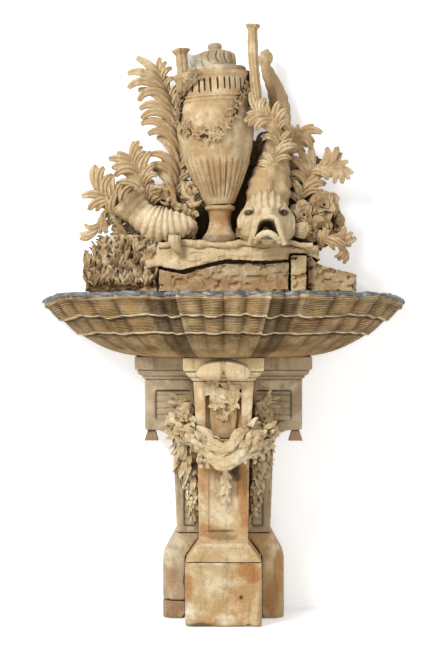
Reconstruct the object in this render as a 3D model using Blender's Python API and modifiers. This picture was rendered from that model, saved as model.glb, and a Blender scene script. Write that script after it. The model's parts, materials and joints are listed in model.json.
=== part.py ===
"""Terracotta wall fountain: a fluted shell basin on a pier with two wings, under a vase,
a dolphin, shells, coral and leaves. Metres, +Z up, front towards -Y, flat back on the wall."""

import math

import bmesh
import bpy
import numpy as np
from mathutils import Matrix, Vector, noise

# Joint left between neighbouring pieces
GAP = 0.0003

# Pier
BLOCK_HALF = 0.1395
BLOCK_OUT = 0.420
BLOCK_HEIGHT = 0.232
SPLAY_HEIGHT = 0.058
SPLAY_HALF = 0.098
SHAFT_FOOT_HALF = 0.090
SHAFT_WAIST_HALF = 0.0936
SHAFT_TOP_HALF = 0.110
SHAFT_WAIST_DROP = 0.298
SHAFT_HEIGHT = 0.5946
SHAFT_OUT = 0.395
FILLET = 0.002
NICHE_HALF = 0.064
NICHE_HEIGHT = 0.196
NICHE_DEPTH = 0.028
PANEL_HALF = 0.054
PANEL_DEPTH = 0.009
PANEL_MARGIN = 0.044
TABLET_TOP_HALF = 0.055
TABLET_FOOT_HALF = 0.044
TABLET_THICKNESS = 0.017

# Moulding shared by the capital and the wing cornices: height above the shaft, projection
CAPITAL_HEIGHT = 0.0854
MOULDING = (
    (0.0, 0.002),
    (0.006, 0.008),
    (0.010, 0.008),
    (0.018, 0.017),
    (0.029, 0.025),
    (0.036, 0.028),
    (0.0375, 0.034),
)

# Shell draped over the capital
CAPITAL_SHELL_HALF = 0.098
CAPITAL_SHELL_DROP = 0.072
CAPITAL_SHELL_PROUD = 0.036

# Wings
WING_OUT = 0.225
WING_HALF = 0.2925
SHANK_FOOT_HALF = 0.174
SHANK_TOP_HALF = 0.186
EAR_DROP = 0.189
ARCH_RADIUS = 0.065
FRAME_WIDTH = 0.040
SUNK_DEPTH = 0.012
COURSE_PITCH = 0.027
COURSE_GROOVE = 0.003
SLOT_INNER_HALF = 0.103
SLOT_OUTER_HALF = 0.146
PLINTH_HEIGHT = 0.231
PLINTH_SPLAY = 0.085
PLINTH_HALF = 0.226
PLINTH_TOP_HALF = 0.180
PLINTH_OUT = 0.245
PLINTH_CANT = 0.030
LOWER_COURSE_HEIGHT = 0.067
PENDANT_TOP_HALF = 0.015
PENDANT_FOOT_HALF = 0.027
PENDANT_HEIGHT = 0.040
PENDANT_X = 0.268

# Shell basin: half width and reach from the wall, at its foot and at its rim
FOOT_HALF = 0.335
FOOT_REACH = 0.445
RIM_HALF = 0.690
RIM_REACH = 0.660
BASIN_HEIGHT = 0.2347
BOWL_POWER = 0.55
TIP_DROOP = 0.030
TIER_HEIGHTS = (0.379, 0.647)
TIER_LIP = 0.012
FLUTE_DEPTH = 0.012
FLUTE_STEPS = 3
LOBE_RECESS = 0.040
# Span in degrees, number of flutes and whether the lobe stands back, from one wall end round to the other
LOBES = (
    (64.5, 6, False),
    (11.7, 2, True),
    (27.6, 4, False),
    (11.7, 2, True),
    (64.5, 6, False),
)
RIM_BAND = 0.09
CAVITY_HALF = 0.640
CAVITY_REACH = 0.610
FLOOR_THICKNESS = 0.045
LEDGE_OUT = 0.275

# Lead dressed over the rim
LEAD_THICKNESS = 0.003
LEAD_TURNDOWN = 0.009
LEAD_COVER = 0.5

# Water parts
WASTE_COVER = 0.032
WASTE_OUT = SHAFT_OUT - NICHE_DEPTH - WASTE_COVER
WASTE_RADIUS = 0.0165
WASTE_WALL = 0.0025
WASTE_BORE = 0.018
OUTLET_FLANGE = 0.032
OUTLET_THICKNESS = 0.004
STANDPIPE_RADIUS = 0.0115
STANDPIPE_WALL = 0.002
STANDPIPE_LENGTH = 0.165
STANDPIPE_PLUG = 0.018
SUPPLY_RADIUS = 0.009
SUPPLY_X = 0.155
SUPPLY_OUT = 0.028
SUPPLY_BEND = 0.030
CHASE_HALF = 0.018
CHASE_DEPTH = 0.052
NOZZLE_RADIUS = 0.011
NOZZLE_BORE = 0.007
NOZZLE_LENGTH = 0.062
NOZZLE_BACK = 0.235

# Rock course on the basin's ledge, and the joint above it: x, height above the rim
COURSE_LEFT = 0.172 - RIM_HALF
COURSE_RIGHT = RIM_HALF - 0.190
SLAB_LEFT = -0.242
PILLAR_LEFT = 0.2452
PILLAR_RIGHT = 0.309
SLAB_OUT = 0.258
PILLAR_OUT = 0.270
JOINT_LINE = (
    (COURSE_LEFT, 0.052),
    (-0.412, 0.060),
    (-0.300, 0.078),
    (-0.242, 0.092),
    (-0.155, 0.076),
    (-0.087, 0.094),
    (0.010, 0.116),
    (0.170, 0.112),
    (0.2446, 0.117),
    (0.2450, 0.140),
    (0.309, 0.140),
    (0.360, 0.112),
    (COURSE_RIGHT, 0.072),
)

# Rock bed above the joint
BED_RISE = 0.185
BED_LEFT = -0.300
BED_RIGHT = 0.362
BED_OUT = 0.283

# Vase, leaning to the left about the top of its foot
VASE_X = -0.013
VASE_OUT = 0.165
VASE_LEAN = 3.5
VASE_HEIGHT = 0.487
VASE_WALL = 0.014
VASE_SEGMENTS = 36
MOUTH_RADIUS = 0.116
GADROON_DEPTH = 0.035
FRIEZE_DEPTH = 0.005
FOOT_HEIGHT = 0.146
FOOT_RADIUS = 0.070
STEM_RADIUS = 0.042
COLLAR_RADIUS = 0.056
DOWEL_RADIUS = 0.008
DOWEL_LENGTH = 0.110
LID_RADIUS = 0.112
LID_SHIFT = 0.016
LID_HEIGHT = 0.118
SPIGOT_DEPTH = 0.018
HANDLE_RADIUS = 0.150
HANDLE_RISE = 0.318
HANDLE_BROKEN_RISE = 0.268
HANDLE_WIDTH = 0.044
HANDLE_TURNS = (-18.0, 132.0)

# Leaves: how far a lobe's edge lies ahead of its root, in shares of its width
LEAF_SWEEP = 0.75

# Dolphin head
HEAD_X = 0.158
MOUTH_TOP = 0.088
MOUTH_BACK = 0.262
JAW_SECTION = ((-1, 0), (-0.86, 0.45), (-0.5, 0.85), (0, 1), (0.5, 0.85), (0.86, 0.45), (1, 0), (0, -0.12))

TERRACOTTA = ((0.48, 0.31, 0.16), 0.85, 0.0)
WARM = ((0.52, 0.33, 0.16), 0.85, 0.0)
GREY_TERRACOTTA = ((0.42, 0.33, 0.23), 0.88, 0.0)
RED_TERRACOTTA = ((0.36, 0.20, 0.13), 0.88, 0.0)
PINK_TERRACOTTA = ((0.56, 0.30, 0.18), 0.85, 0.0)
LIMEWASHED = ((0.62, 0.50, 0.34), 0.9, 0.0)
LEAD = ((0.26, 0.28, 0.31), 0.55, 0.8)
BRASS = ((0.50, 0.38, 0.16), 0.4, 1.0)
COPPER = ((0.42, 0.22, 0.13), 0.45, 1.0)
IRON = ((0.12, 0.10, 0.09), 0.7, 0.8)

# Heights and steps that follow from the sizes above
BLOCK_TOP = BLOCK_HEIGHT
SPLAY_TOP = BLOCK_TOP + SPLAY_HEIGHT
SHAFT_TOP = SPLAY_TOP + SHAFT_HEIGHT
PEDESTAL_TOP = SHAFT_TOP + CAPITAL_HEIGHT
WING_FOOT = PLINTH_HEIGHT + PLINTH_SPLAY
BASIN_FOOT = PEDESTAL_TOP + GAP
RIM_Z = BASIN_FOOT + BASIN_HEIGHT
FLOOR_Z = BASIN_FOOT + FLOOR_THICKNESS
BED_TOP = RIM_Z + BED_RISE
FOOT_TOP = BED_TOP + GAP + FOOT_HEIGHT
SUPPLY_Z = BED_TOP + 0.045

PARTS = None
CUTTERS = None


def clear_scene():
    """Empty the file and make one collection for the parts and one for the cutters."""
    global PARTS, CUTTERS
    for old in list(bpy.data.objects):
        bpy.data.objects.remove(old, do_unlink=True)
    PARTS = bpy.data.collections.new("terracotta_fountain")
    CUTTERS = bpy.data.collections.new("cutters")
    for group in (PARTS, CUTTERS):
        bpy.context.scene.collection.children.link(group)


def lobe_factors():
    """Angle round the shell and relative radius; each flute is half a sine."""
    angles = []
    factors = []
    start = 0.0
    for index, (span, flutes, recessed) in enumerate(LOBES):
        steps = flutes * FLUTE_STEPS
        for step in range(steps):
            angles.append(start + span * step / steps)
            bulge = abs(math.sin(math.pi * step / FLUTE_STEPS))
            stands_back = recessed and step > 0
            factors.append(1 - FLUTE_DEPTH * (1 - bulge) * (step > 0) - LOBE_RECESS * stands_back)
        start += span
    angles.append(start)
    factors.append(1.0)
    return np.radians(angles), np.array(factors)


def shell_outline(half, reach, flute_share=1.0):
    """Fluted half ellipse in plan: x and distance out from the wall."""
    angles, factors = lobe_factors()
    factors = 1 - (1 - factors) * flute_share
    x = half * np.cos(angles) * factors
    out = np.maximum(reach * np.sin(angles) * factors, 0.0)
    out[[0, -1]] = 0.0
    return x, out


WALL_Y = (shell_outline(RIM_HALF, RIM_REACH)[1].max() + GAP + LEAD_THICKNESS) / 2


def place(x, out, z):
    """Point at x across, out from the wall and z up."""
    return Vector((x, WALL_Y - out, z))


def finish_object(name, mesh, look):
    """New part with its own material."""
    obj = bpy.data.objects.new(name, mesh)
    colour, roughness, metallic = look
    material = bpy.data.materials.new(name + "_finish")
    material.use_nodes = True
    shader = material.node_tree.nodes["Principled BSDF"]
    shader.inputs["Base Color"].default_value = (*colour, 1)
    shader.inputs["Roughness"].default_value = roughness
    shader.inputs["Metallic"].default_value = metallic
    mesh.materials.clear()
    mesh.materials.append(material)
    PARTS.objects.link(obj)
    return obj


def closed_mesh(name, bm):
    """Mesh of one closed body facing out, from a bmesh."""
    bmesh.ops.remove_doubles(bm, verts=bm.verts, dist=1e-6)
    bmesh.ops.recalc_face_normals(bm, faces=bm.faces)
    mesh = bpy.data.meshes.new(name)
    bm.to_mesh(mesh)
    bm.free()
    return mesh


def loft_mesh(name, rings, fan=False):
    """Skin closed rings of equal length with triangles, with flat ends, or ends fanned to their middle."""
    rings = np.asarray([[tuple(point) for point in ring] for ring in rings], dtype=float)
    count, size = rings.shape[:2]
    bm = bmesh.new()
    verts = [[bm.verts.new(point) for point in ring] for ring in rings]
    for low, high in zip(verts, verts[1:]):
        for step in range(size):
            after = (step + 1) % size
            bm.faces.new((low[step], low[after], high[after]))
            bm.faces.new((low[step], high[after], high[step]))
    for ring, points in ((verts[0], rings[0]), (verts[-1], rings[-1])):
        if fan:
            middle = bm.verts.new(points.mean(axis=0))
            for step in range(size):
                bm.faces.new((ring[step], ring[(step + 1) % size], middle))
        else:
            bm.faces.new(ring)
    return closed_mesh(name, bm)


def loft(name, rings, look, fan=False):
    """Part skinned through rings."""
    return finish_object(name, loft_mesh(name, rings, fan), look)


def slabs(name, levels, look):
    """Stack of rectangular sections: z, x from, x to, out from, out to."""
    rings = []
    for z, x0, x1, out0, out1 in levels:
        rings.append([place(x0, out0, z), place(x1, out0, z), place(x1, out1, z), place(x0, out1, z)])
    return loft(name, rings, look)


def prism_mesh(name, outline, out0, out1):
    """Flat outline of x and z points, extruded along the way out from the wall."""
    curve = bpy.data.curves.new(name, "CURVE")
    curve.dimensions = "2D"
    curve.fill_mode = "BOTH"
    curve.extrude = (out1 - out0) / 2
    spline = curve.splines.new("POLY")
    spline.points.add(len(outline) - 1)
    for point, (x, z) in zip(spline.points, outline):
        point.co = (x, z, 0, 1)
    spline.use_cyclic_u = True
    holder = bpy.data.objects.new(name, curve)
    turn = Matrix.Rotation(math.pi / 2, 4, "X")
    holder.matrix_world = Matrix.Translation((0, WALL_Y - (out0 + out1) / 2, 0)) @ turn
    return curve_mesh(name, holder)


def curve_mesh(name, holder):
    """Mesh of a curve object where it stands, with its caps welded; the curve is removed."""
    bpy.context.scene.collection.objects.link(holder)
    bpy.context.view_layer.update()
    depsgraph = bpy.context.evaluated_depsgraph_get()
    source = bpy.data.meshes.new_from_object(holder.evaluated_get(depsgraph))
    source.transform(holder.matrix_world)
    bm = bmesh.new()
    bm.from_mesh(source)
    bpy.data.objects.remove(holder, do_unlink=True)
    return closed_mesh(name, bm)


def tube_mesh(name, points, radii, resolution=2):
    """Round tube along points, each with its own radius, with filled caps."""
    curve = bpy.data.curves.new(name, "CURVE")
    curve.dimensions = "3D"
    curve.bevel_depth = 1.0
    curve.bevel_resolution = resolution
    curve.use_fill_caps = True
    spline = curve.splines.new("POLY")
    spline.points.add(len(points) - 1)
    for point, position, radius in zip(spline.points, points, radii):
        point.co = (*position, 1)
        point.radius = radius
    return curve_mesh(name, bpy.data.objects.new(name, curve))


def smooth_path(points, steps):
    """Points along a smooth curve through the given rows of numbers, each span cut in equal steps."""
    rows = np.asarray([tuple(row) for row in points], dtype=float)
    padded = np.vstack([2 * rows[0] - rows[1], rows, 2 * rows[-1] - rows[-2]])
    path = []
    for index in range(len(rows) - 1):
        before, start, end, after = padded[index:index + 4]
        for step in range(steps):
            t = step / steps
            path.append(
                0.5 * (2 * start + (end - before) * t + (2 * before - 5 * start + 4 * end - after) * t ** 2
                       + (3 * start - before - 3 * end + after) * t ** 3)
            )
    path.append(rows[-1])
    return np.array(path)


def turned_mesh(name, profile, segments, matrix=None):
    """Profile of radius and height, turned about its axis with a Screw modifier."""
    bm = bmesh.new()
    verts = [bm.verts.new((radius, 0, z)) for radius, z in profile]
    for first, second in zip(verts, verts[1:]):
        bm.edges.new((first, second))
    if profile[0] != profile[-1] and min(profile[0][0], profile[-1][0]) > 0:
        bm.edges.new((verts[-1], verts[0]))
    wire = bpy.data.meshes.new(name)
    bm.to_mesh(wire)
    bm.free()
    holder = bpy.data.objects.new(name, wire)
    screw = holder.modifiers.new("turn", "SCREW")
    screw.steps = segments
    screw.render_steps = segments
    screw.use_merge_vertices = True
    screw.merge_threshold = 0.00001
    if matrix is not None:
        holder.matrix_world = matrix
    return curve_mesh(name, holder)


def turned(name, profile, segments, look, matrix):
    """Turned part."""
    return finish_object(name, turned_mesh(name, profile, segments, matrix), look)


def evaluated_bmesh(obj, grow=0.0):
    """The object as the viewport shows it, each face moved out by grow."""
    depsgraph = bpy.context.evaluated_depsgraph_get()
    source = bpy.data.meshes.new_from_object(obj.evaluated_get(depsgraph))
    source.transform(obj.matrix_world)
    bm = bmesh.new()
    bm.from_mesh(source)
    bpy.data.meshes.remove(source)
    if grow:
        bmesh.ops.triangulate(bm, faces=bm.faces)
        bm.normal_update()
        moves = [vert.normal * grow * min(vert.calc_shell_factor(), 2.5) for vert in bm.verts]
        for vert, move in zip(bm.verts, moves):
            vert.co += move
    return bm


def guide(name, mesh):
    """Cutter that the viewport draws as wires and no render shows."""
    obj = bpy.data.objects.new(name, mesh)
    obj.hide_render = True
    obj.display_type = "WIRE"
    CUTTERS.objects.link(obj)
    return obj


def largest_body(bm):
    """Delete every loose body but the largest."""
    bodies = []
    seen = set()
    for start in bm.verts:
        if start in seen:
            continue
        body = {start}
        front = [start]
        while front:
            vert = front.pop()
            for edge in vert.link_edges:
                other = edge.other_vert(vert)
                if other not in body:
                    body.add(other)
                    front.append(other)
        seen |= body
        bodies.append(body)
    if len(bodies) < 2:
        return
    def volume(body):
        faces = {face for vert in body for face in vert.link_faces}
        return abs(sum(face.calc_center_median().dot(face.normal) * face.calc_area() for face in faces))
    bodies.sort(key=volume)
    spare = [vert for body in bodies[:-1] for vert in body]
    bmesh.ops.delete(bm, geom=spare, context="VERTS")


def combine(obj, cutter, operation):
    """Apply one exact Boolean to a part and tidy the seam."""
    modifier = obj.modifiers.new(operation.lower(), "BOOLEAN")
    modifier.operation = operation
    modifier.solver = "EXACT"
    modifier.object = cutter
    bpy.context.view_layer.update()
    bm = evaluated_bmesh(obj)
    tidy = bm.copy()
    bmesh.ops.remove_doubles(tidy, verts=tidy.verts, dist=2e-5)
    bmesh.ops.dissolve_degenerate(tidy, edges=tidy.edges, dist=2e-5)
    if all(edge.is_manifold for edge in tidy.edges):
        bm.free()
        bm = tidy
    else:
        tidy.free()
    obj.modifiers.clear()
    bmesh.ops.triangulate(bm, faces=[face for face in bm.faces if len(face.verts) > 4])
    largest_body(bm)
    look = obj.data.materials[0]
    bm.to_mesh(obj.data)
    bm.free()
    obj.data.materials.clear()
    obj.data.materials.append(look)


def cut(obj, *meshes):
    """Take shapes away from a part."""
    for mesh in meshes:
        cutter = guide(obj.name + "_cut", mesh)
        combine(obj, cutter, "DIFFERENCE")


def join(obj, *meshes):
    """Add shapes to a part, as one body."""
    for mesh in meshes:
        cutter = guide(obj.name + "_join", mesh)
        combine(obj, cutter, "UNION")


def world_box(obj):
    """Lowest and highest corner of a part."""
    points = np.array([tuple(vert.co) for vert in obj.data.vertices])
    return points.min(axis=0) - GAP, points.max(axis=0) + GAP


def seat(obj, *names):
    """Trim a part to the pieces that it stands against, leaving the joint between them."""
    for name in names:
        other = bpy.data.objects[name]
        low, high = world_box(obj)
        other_low, other_high = world_box(other)
        if np.any(low > other_high) or np.any(high < other_low):
            continue
        mesh = closed_mesh(name, evaluated_bmesh(other, GAP))
        cut(obj, mesh)


def box_mesh(name, x0, x1, out0, out1, z0, z1):
    """Box between two values on each axis."""
    bm = bmesh.new()
    bmesh.ops.create_cube(bm, size=1)
    middle = place((x0 + x1) / 2, (out0 + out1) / 2, (z0 + z1) / 2)
    size = Matrix.Diagonal((x1 - x0, out1 - out0, z1 - z0, 1))
    bmesh.ops.transform(bm, matrix=Matrix.Translation(middle) @ size, verts=bm.verts)
    return closed_mesh(name, bm)


def rod_mesh(name, start, end, radius, segments=16):
    """Straight rod between two points."""
    axis = end - start
    bm = bmesh.new()
    bmesh.ops.create_cone(
        bm, cap_ends=True, segments=segments, radius1=radius, radius2=radius, depth=axis.length
    )
    turn = axis.to_track_quat("Z", "Y").to_matrix().to_4x4()
    bmesh.ops.transform(bm, matrix=Matrix.Translation((start + end) / 2) @ turn, verts=bm.verts)
    return closed_mesh(name, bm)


def pier_half(z):
    """Half width of the pier at a height, block and splay included."""
    levels = (0, BLOCK_TOP, SPLAY_TOP, SPLAY_TOP + FILLET, SHAFT_TOP - SHAFT_WAIST_DROP, SHAFT_TOP)
    widths = (BLOCK_HALF, BLOCK_HALF, SPLAY_HALF, SHAFT_FOOT_HALF, SHAFT_WAIST_HALF, SHAFT_TOP_HALF)
    return float(np.interp(z, levels, widths))


def waste_bore(name, low, high):
    """Upright bore for the waste pipe."""
    return rod_mesh(name, place(0, WASTE_OUT, low), place(0, WASTE_OUT, high), WASTE_BORE)


def chase(name):
    """Groove in the back that the supply pipe rises in."""
    edges = (SUPPLY_X - CHASE_HALF, SUPPLY_X + CHASE_HALF)
    return box_mesh(name, *edges, -0.01, CHASE_DEPTH, -0.01, SUPPLY_Z + CHASE_HALF)


def build_pier():
    """Base block, shaft with its niche, capital, tablet and waste bore."""
    block = slabs("pier_base_block", (
        (0, -BLOCK_HALF, BLOCK_HALF, 0, BLOCK_OUT),
        (BLOCK_TOP, -BLOCK_HALF, BLOCK_HALF, 0, BLOCK_OUT),
    ), WARM)
    cut(block, waste_bore("block_bore", -0.01, BLOCK_TOP + 0.01))

    waist = SHAFT_TOP - SHAFT_WAIST_DROP
    levels = []
    for z, out in (
        (BLOCK_TOP + GAP, BLOCK_OUT),
        (SPLAY_TOP, SHAFT_OUT + SPLAY_HALF - SHAFT_FOOT_HALF),
        (SPLAY_TOP + FILLET, SHAFT_OUT),
        (waist, SHAFT_OUT),
        (SHAFT_TOP, SHAFT_OUT),
    ):
        levels.append((z, -pier_half(z), pier_half(z), 0, out))
    shaft = slabs("pier_shaft", levels, WARM)
    niche_foot = SHAFT_TOP - FRAME_WIDTH / 3 - NICHE_HEIGHT
    niche_top = niche_foot + NICHE_HEIGHT
    cut(
        shaft,
        box_mesh("niche", -NICHE_HALF, NICHE_HALF, SHAFT_OUT - NICHE_DEPTH, SHAFT_OUT + 0.01,
                 niche_foot, niche_top),
        box_mesh("sunk_panel", -PANEL_HALF, PANEL_HALF, SHAFT_OUT - PANEL_DEPTH, SHAFT_OUT + 0.01,
                 SPLAY_TOP + PANEL_MARGIN, niche_foot - PANEL_DEPTH),
        waste_bore("shaft_bore", BLOCK_TOP - 0.01, SHAFT_TOP + 0.01),
    )

    levels = []
    for rise, step in MOULDING:
        half = SHAFT_TOP_HALF + step
        levels.append((SHAFT_TOP + GAP + rise, -half, half, 0, SHAFT_OUT + step))
    levels.append((PEDESTAL_TOP, *levels[-1][1:]))
    capital = slabs("pier_capital", levels, WARM)
    cut(capital, waste_bore("capital_bore", SHAFT_TOP - 0.01, PEDESTAL_TOP + 0.01))

    back = SHAFT_OUT - NICHE_DEPTH + GAP
    slabs("niche_tablet", (
        (niche_foot + GAP, -TABLET_FOOT_HALF, TABLET_FOOT_HALF, back, back + TABLET_THICKNESS * 0.8),
        (niche_top - GAP, -TABLET_TOP_HALF, TABLET_TOP_HALF, back, back + TABLET_THICKNESS),
    ), WARM)


def wing_outline(side):
    """Console seen from the front: shank, quarter arch and ear, from the inner foot round."""
    ear_foot = SHAFT_TOP - EAR_DROP
    arch_middle = SHANK_TOP_HALF + ARCH_RADIUS
    points = [
        (pier_half(WING_FOOT) + GAP, WING_FOOT + GAP),
        (SHANK_FOOT_HALF, WING_FOOT + GAP),
    ]
    for step in range(7):
        angle = math.pi - math.pi / 2 * step / 6
        points.append((
            arch_middle + ARCH_RADIUS * math.cos(angle),
            ear_foot - ARCH_RADIUS + ARCH_RADIUS * math.sin(angle),
        ))
    waist = SHAFT_TOP - SHAFT_WAIST_DROP
    points += [
        (WING_HALF, ear_foot),
        (WING_HALF, SHAFT_TOP),
        (pier_half(SHAFT_TOP) + GAP, SHAFT_TOP),
        (pier_half(waist) + GAP, waist),
    ]
    return [(side * x, z) for x, z in points]


def wing_panel(side):
    """Sunk field of a wing: square in the ear, following the arch below, open to the pier."""
    ear_foot = SHAFT_TOP - EAR_DROP
    arch_middle = SHANK_TOP_HALF + ARCH_RADIUS
    radius = ARCH_RADIUS + FRAME_WIDTH
    outer = WING_HALF - FRAME_WIDTH
    top = SHAFT_TOP - FRAME_WIDTH
    points = [(SLOT_INNER_HALF + FRAME_WIDTH / 2, top), (outer, top)]
    for step in range(5):
        angle = math.pi / 2 + math.radians(64) * step / 4
        points.append((
            min(arch_middle + radius * math.cos(angle), outer),
            ear_foot - ARCH_RADIUS + radius * math.sin(angle),
        ))
    points.append((SLOT_INNER_HALF + FRAME_WIDTH / 2, points[-1][1]))
    return [(side * x, z) for x, z in points]


def course_grooves(name, side, x0, x1, low, high, depth_out):
    """Level grooves between rustic courses, as separate boxes in one cutter."""
    bm = bmesh.new()
    count = int((high - low) / COURSE_PITCH)
    for index in range(count):
        z = low + COURSE_PITCH * (index + 0.7)
        mesh = box_mesh(name, min(side * x0, side * x1), max(side * x0, side * x1),
                        depth_out - COURSE_GROOVE, depth_out + 0.02, z, z + COURSE_GROOVE)
        bm.from_mesh(mesh)
    mesh = bpy.data.meshes.new(name)
    bm.to_mesh(mesh)
    bm.free()
    return mesh


def build_wing(side, hand):
    """One wing: plinth, console, cornice and ear pendant."""
    wing = finish_object(
        "wing_" + hand, prism_mesh("wing_" + hand, wing_outline(side), 0, WING_OUT), GREY_TERRACOTTA
    )
    sunk = WING_OUT - SUNK_DEPTH
    slot_foot = WING_FOOT + FRAME_WIDTH / 2
    slot_top = SHAFT_TOP - SHAFT_WAIST_DROP - FRAME_WIDTH
    slot = sorted((side * SLOT_INNER_HALF, side * SLOT_OUTER_HALF))
    panel_points = wing_panel(1)
    panel_foot = SHAFT_TOP - EAR_DROP + FRAME_WIDTH
    cut(
        wing,
        prism_mesh("wing_panel", wing_panel(side), sunk, WING_OUT + 0.01),
        box_mesh("wing_slot", *slot, sunk, WING_OUT + 0.01, slot_foot, slot_top),
        course_grooves("ear_courses", side, panel_points[0][0], panel_points[1][0] - COURSE_GROOVE,
                       panel_foot, SHAFT_TOP - FRAME_WIDTH, sunk),
        course_grooves("slot_courses", side, SLOT_INNER_HALF + COURSE_GROOVE,
                       SLOT_OUTER_HALF - COURSE_GROOVE, slot_foot, slot_top, sunk),
    )

    levels = []
    for rise, step in MOULDING:
        inner = SHAFT_TOP_HALF + step + GAP
        outer = WING_HALF + step
        z = SHAFT_TOP + GAP + rise
        levels.append((z, side * inner, side * outer, 0, WING_OUT + step))
    levels.append((PEDESTAL_TOP, *levels[-1][1:]))
    cornice = slabs("wing_cornice_" + hand, levels, GREY_TERRACOTTA)

    low = LOWER_COURSE_HEIGHT + GAP if side < 0 else 0
    heights = (low, PLINTH_HEIGHT, BLOCK_TOP, SPLAY_TOP, SPLAY_TOP + FILLET, WING_FOOT)
    plinth = canted_block("wing_plinth_" + hand, side, sorted(heights), GREY_TERRACOTTA)
    if side < 0:
        canted_block("plinth_course_left", side, (0, LOWER_COURSE_HEIGHT), RED_TERRACOTTA)
    else:
        for piece in (wing, cornice, plinth):
            cut(piece, chase(piece.name + "_chase"))

    ear_foot = SHAFT_TOP - EAR_DROP - GAP
    front = WING_OUT - FRAME_WIDTH / 4
    depth = 2 * PENDANT_FOOT_HALF
    slabs("ear_pendant_" + hand, (
        (ear_foot - PENDANT_HEIGHT, side * PENDANT_X - PENDANT_FOOT_HALF,
         side * PENDANT_X + PENDANT_FOOT_HALF, front - depth, front),
        (ear_foot, side * PENDANT_X - PENDANT_TOP_HALF, side * PENDANT_X + PENDANT_TOP_HALF,
         front - depth + PENDANT_TOP_HALF / 2, front - PENDANT_TOP_HALF / 2),
    ), RED_TERRACOTTA)


def canted_block(name, side, heights, look):
    """Plinth course with its outer front corner canted, fitted to the pier's block and splay."""
    rings = []
    for z in heights:
        outer = float(np.interp(z, (PLINTH_HEIGHT, WING_FOOT), (PLINTH_HALF, PLINTH_TOP_HALF)))
        front = float(np.interp(z, (PLINTH_HEIGHT, WING_FOOT), (PLINTH_OUT, WING_OUT)))
        cant = float(np.interp(z, (PLINTH_HEIGHT, WING_FOOT), (PLINTH_CANT, FILLET)))
        inner = pier_half(z) + GAP
        plan = ((inner, 0), (outer, 0), (outer, front - cant), (outer - cant, front), (inner, front))
        rings.append([place(side * x, out, z) for x, out in plan])
    return loft(name, rings, look)


def shell_row(height, lip=0.0):
    """Plan of the shell's outside at a share of its height, with a tier's lip added."""
    share = height ** BOWL_POWER
    half = FOOT_HALF + (RIM_HALF - FOOT_HALF) * share
    reach = FOOT_REACH + (RIM_REACH - FOOT_REACH) * share
    x, out = shell_outline(half, reach, share)
    return x * (1 + lip), out * (1 + lip)


def rim_height(x):
    """Height of the rim, drooping near the tips."""
    return RIM_Z - TIP_DROOP * np.abs(x / RIM_HALF) ** 10


def shell_ring(x, out, z, half):
    """Closed ring: the fluted line, and four points along the wall behind it, in shares of a half width."""
    ring = [place(*point) for point in zip(x, out, z)]
    for share in (-0.86, -0.3, 0.3, 0.86):
        ring.append(place(share * half, 0, z[len(z) // 2]))
    return ring


def cavity_mesh():
    """Bowl hollow: plain half ellipses clipped by the ledge, wider and wider towards the rim."""
    rings = []
    for share in (0.0, 0.3, 0.55, 0.75, 0.9, 1.02):
        half = FOOT_HALF - FLOOR_THICKNESS + (CAVITY_HALF - FOOT_HALF + FLOOR_THICKNESS) * share
        reach = FOOT_REACH - FLOOR_THICKNESS + (CAVITY_REACH - FOOT_REACH + FLOOR_THICKNESS) * share
        z = FLOOR_Z + (RIM_Z - FLOOR_Z) * share ** (1 / BOWL_POWER)
        start = math.asin(LEDGE_OUT / reach)
        ring = []
        for angle in np.linspace(start, math.pi - start, 32):
            ring.append(place(half * math.cos(angle), reach * math.sin(angle), z))
        rings.append(ring)
    return loft_mesh("bowl_hollow", rings)


def build_basin():
    """Fluted shell in three overlapping tiers, hollowed in front of the ledge that carries the rocks."""
    first, second = TIER_HEIGHTS
    rows = (
        (0.0, 0.0), (0.12, 0.0), (first - 0.02, 0.0), (first, TIER_LIP),
        (0.5, 0.0), (second - 0.02, 0.0), (second, TIER_LIP), (0.82, 0.0), (1.0, 0.0),
    )
    rings = []
    for height, lip in rows:
        x, out = shell_row(height, lip)
        top = rim_height(x * RIM_HALF / x[0])
        rings.append(shell_ring(x, out, BASIN_FOOT + height * (top - BASIN_FOOT), x[0]))
    x, out = shell_row(1.0)
    rim_z = rim_height(x)
    for share in (LEAD_COVER, 1.0):
        inset = 1 - RIM_BAND * share
        rings.append(shell_ring(x * inset, out * inset, rim_z + (RIM_Z - rim_z) * share, x[0]))
    basin = loft("shell_basin", rings, WARM)
    cut(basin, cavity_mesh(), waste_bore("floor_bore", BASIN_FOOT - 0.01, FLOOR_Z + 0.01),
        chase("basin_chase"))

    rings = []
    for x, out, z in zip(*shell_row(1.0), rim_z):
        away = math.hypot(x, out)
        inside = 1 - RIM_BAND * LEAD_COVER
        inner_z = z + (RIM_Z - z) * LEAD_COVER
        close = 1 + GAP / away
        far = 1 + (GAP + LEAD_THICKNESS) / away
        rings.append([
            place(x * close, out * close, z + GAP),
            place(x * inside, out * inside, inner_z + GAP),
            place(x * inside, out * inside, inner_z + GAP + LEAD_THICKNESS),
            place(x * far, out * far, z + GAP + LEAD_THICKNESS),
            place(x * far, out * far, z - LEAD_TURNDOWN),
            place(x * close, out * close, z - LEAD_TURNDOWN),
        ])
    loft("lead_rim", rings, LEAD)


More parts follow.
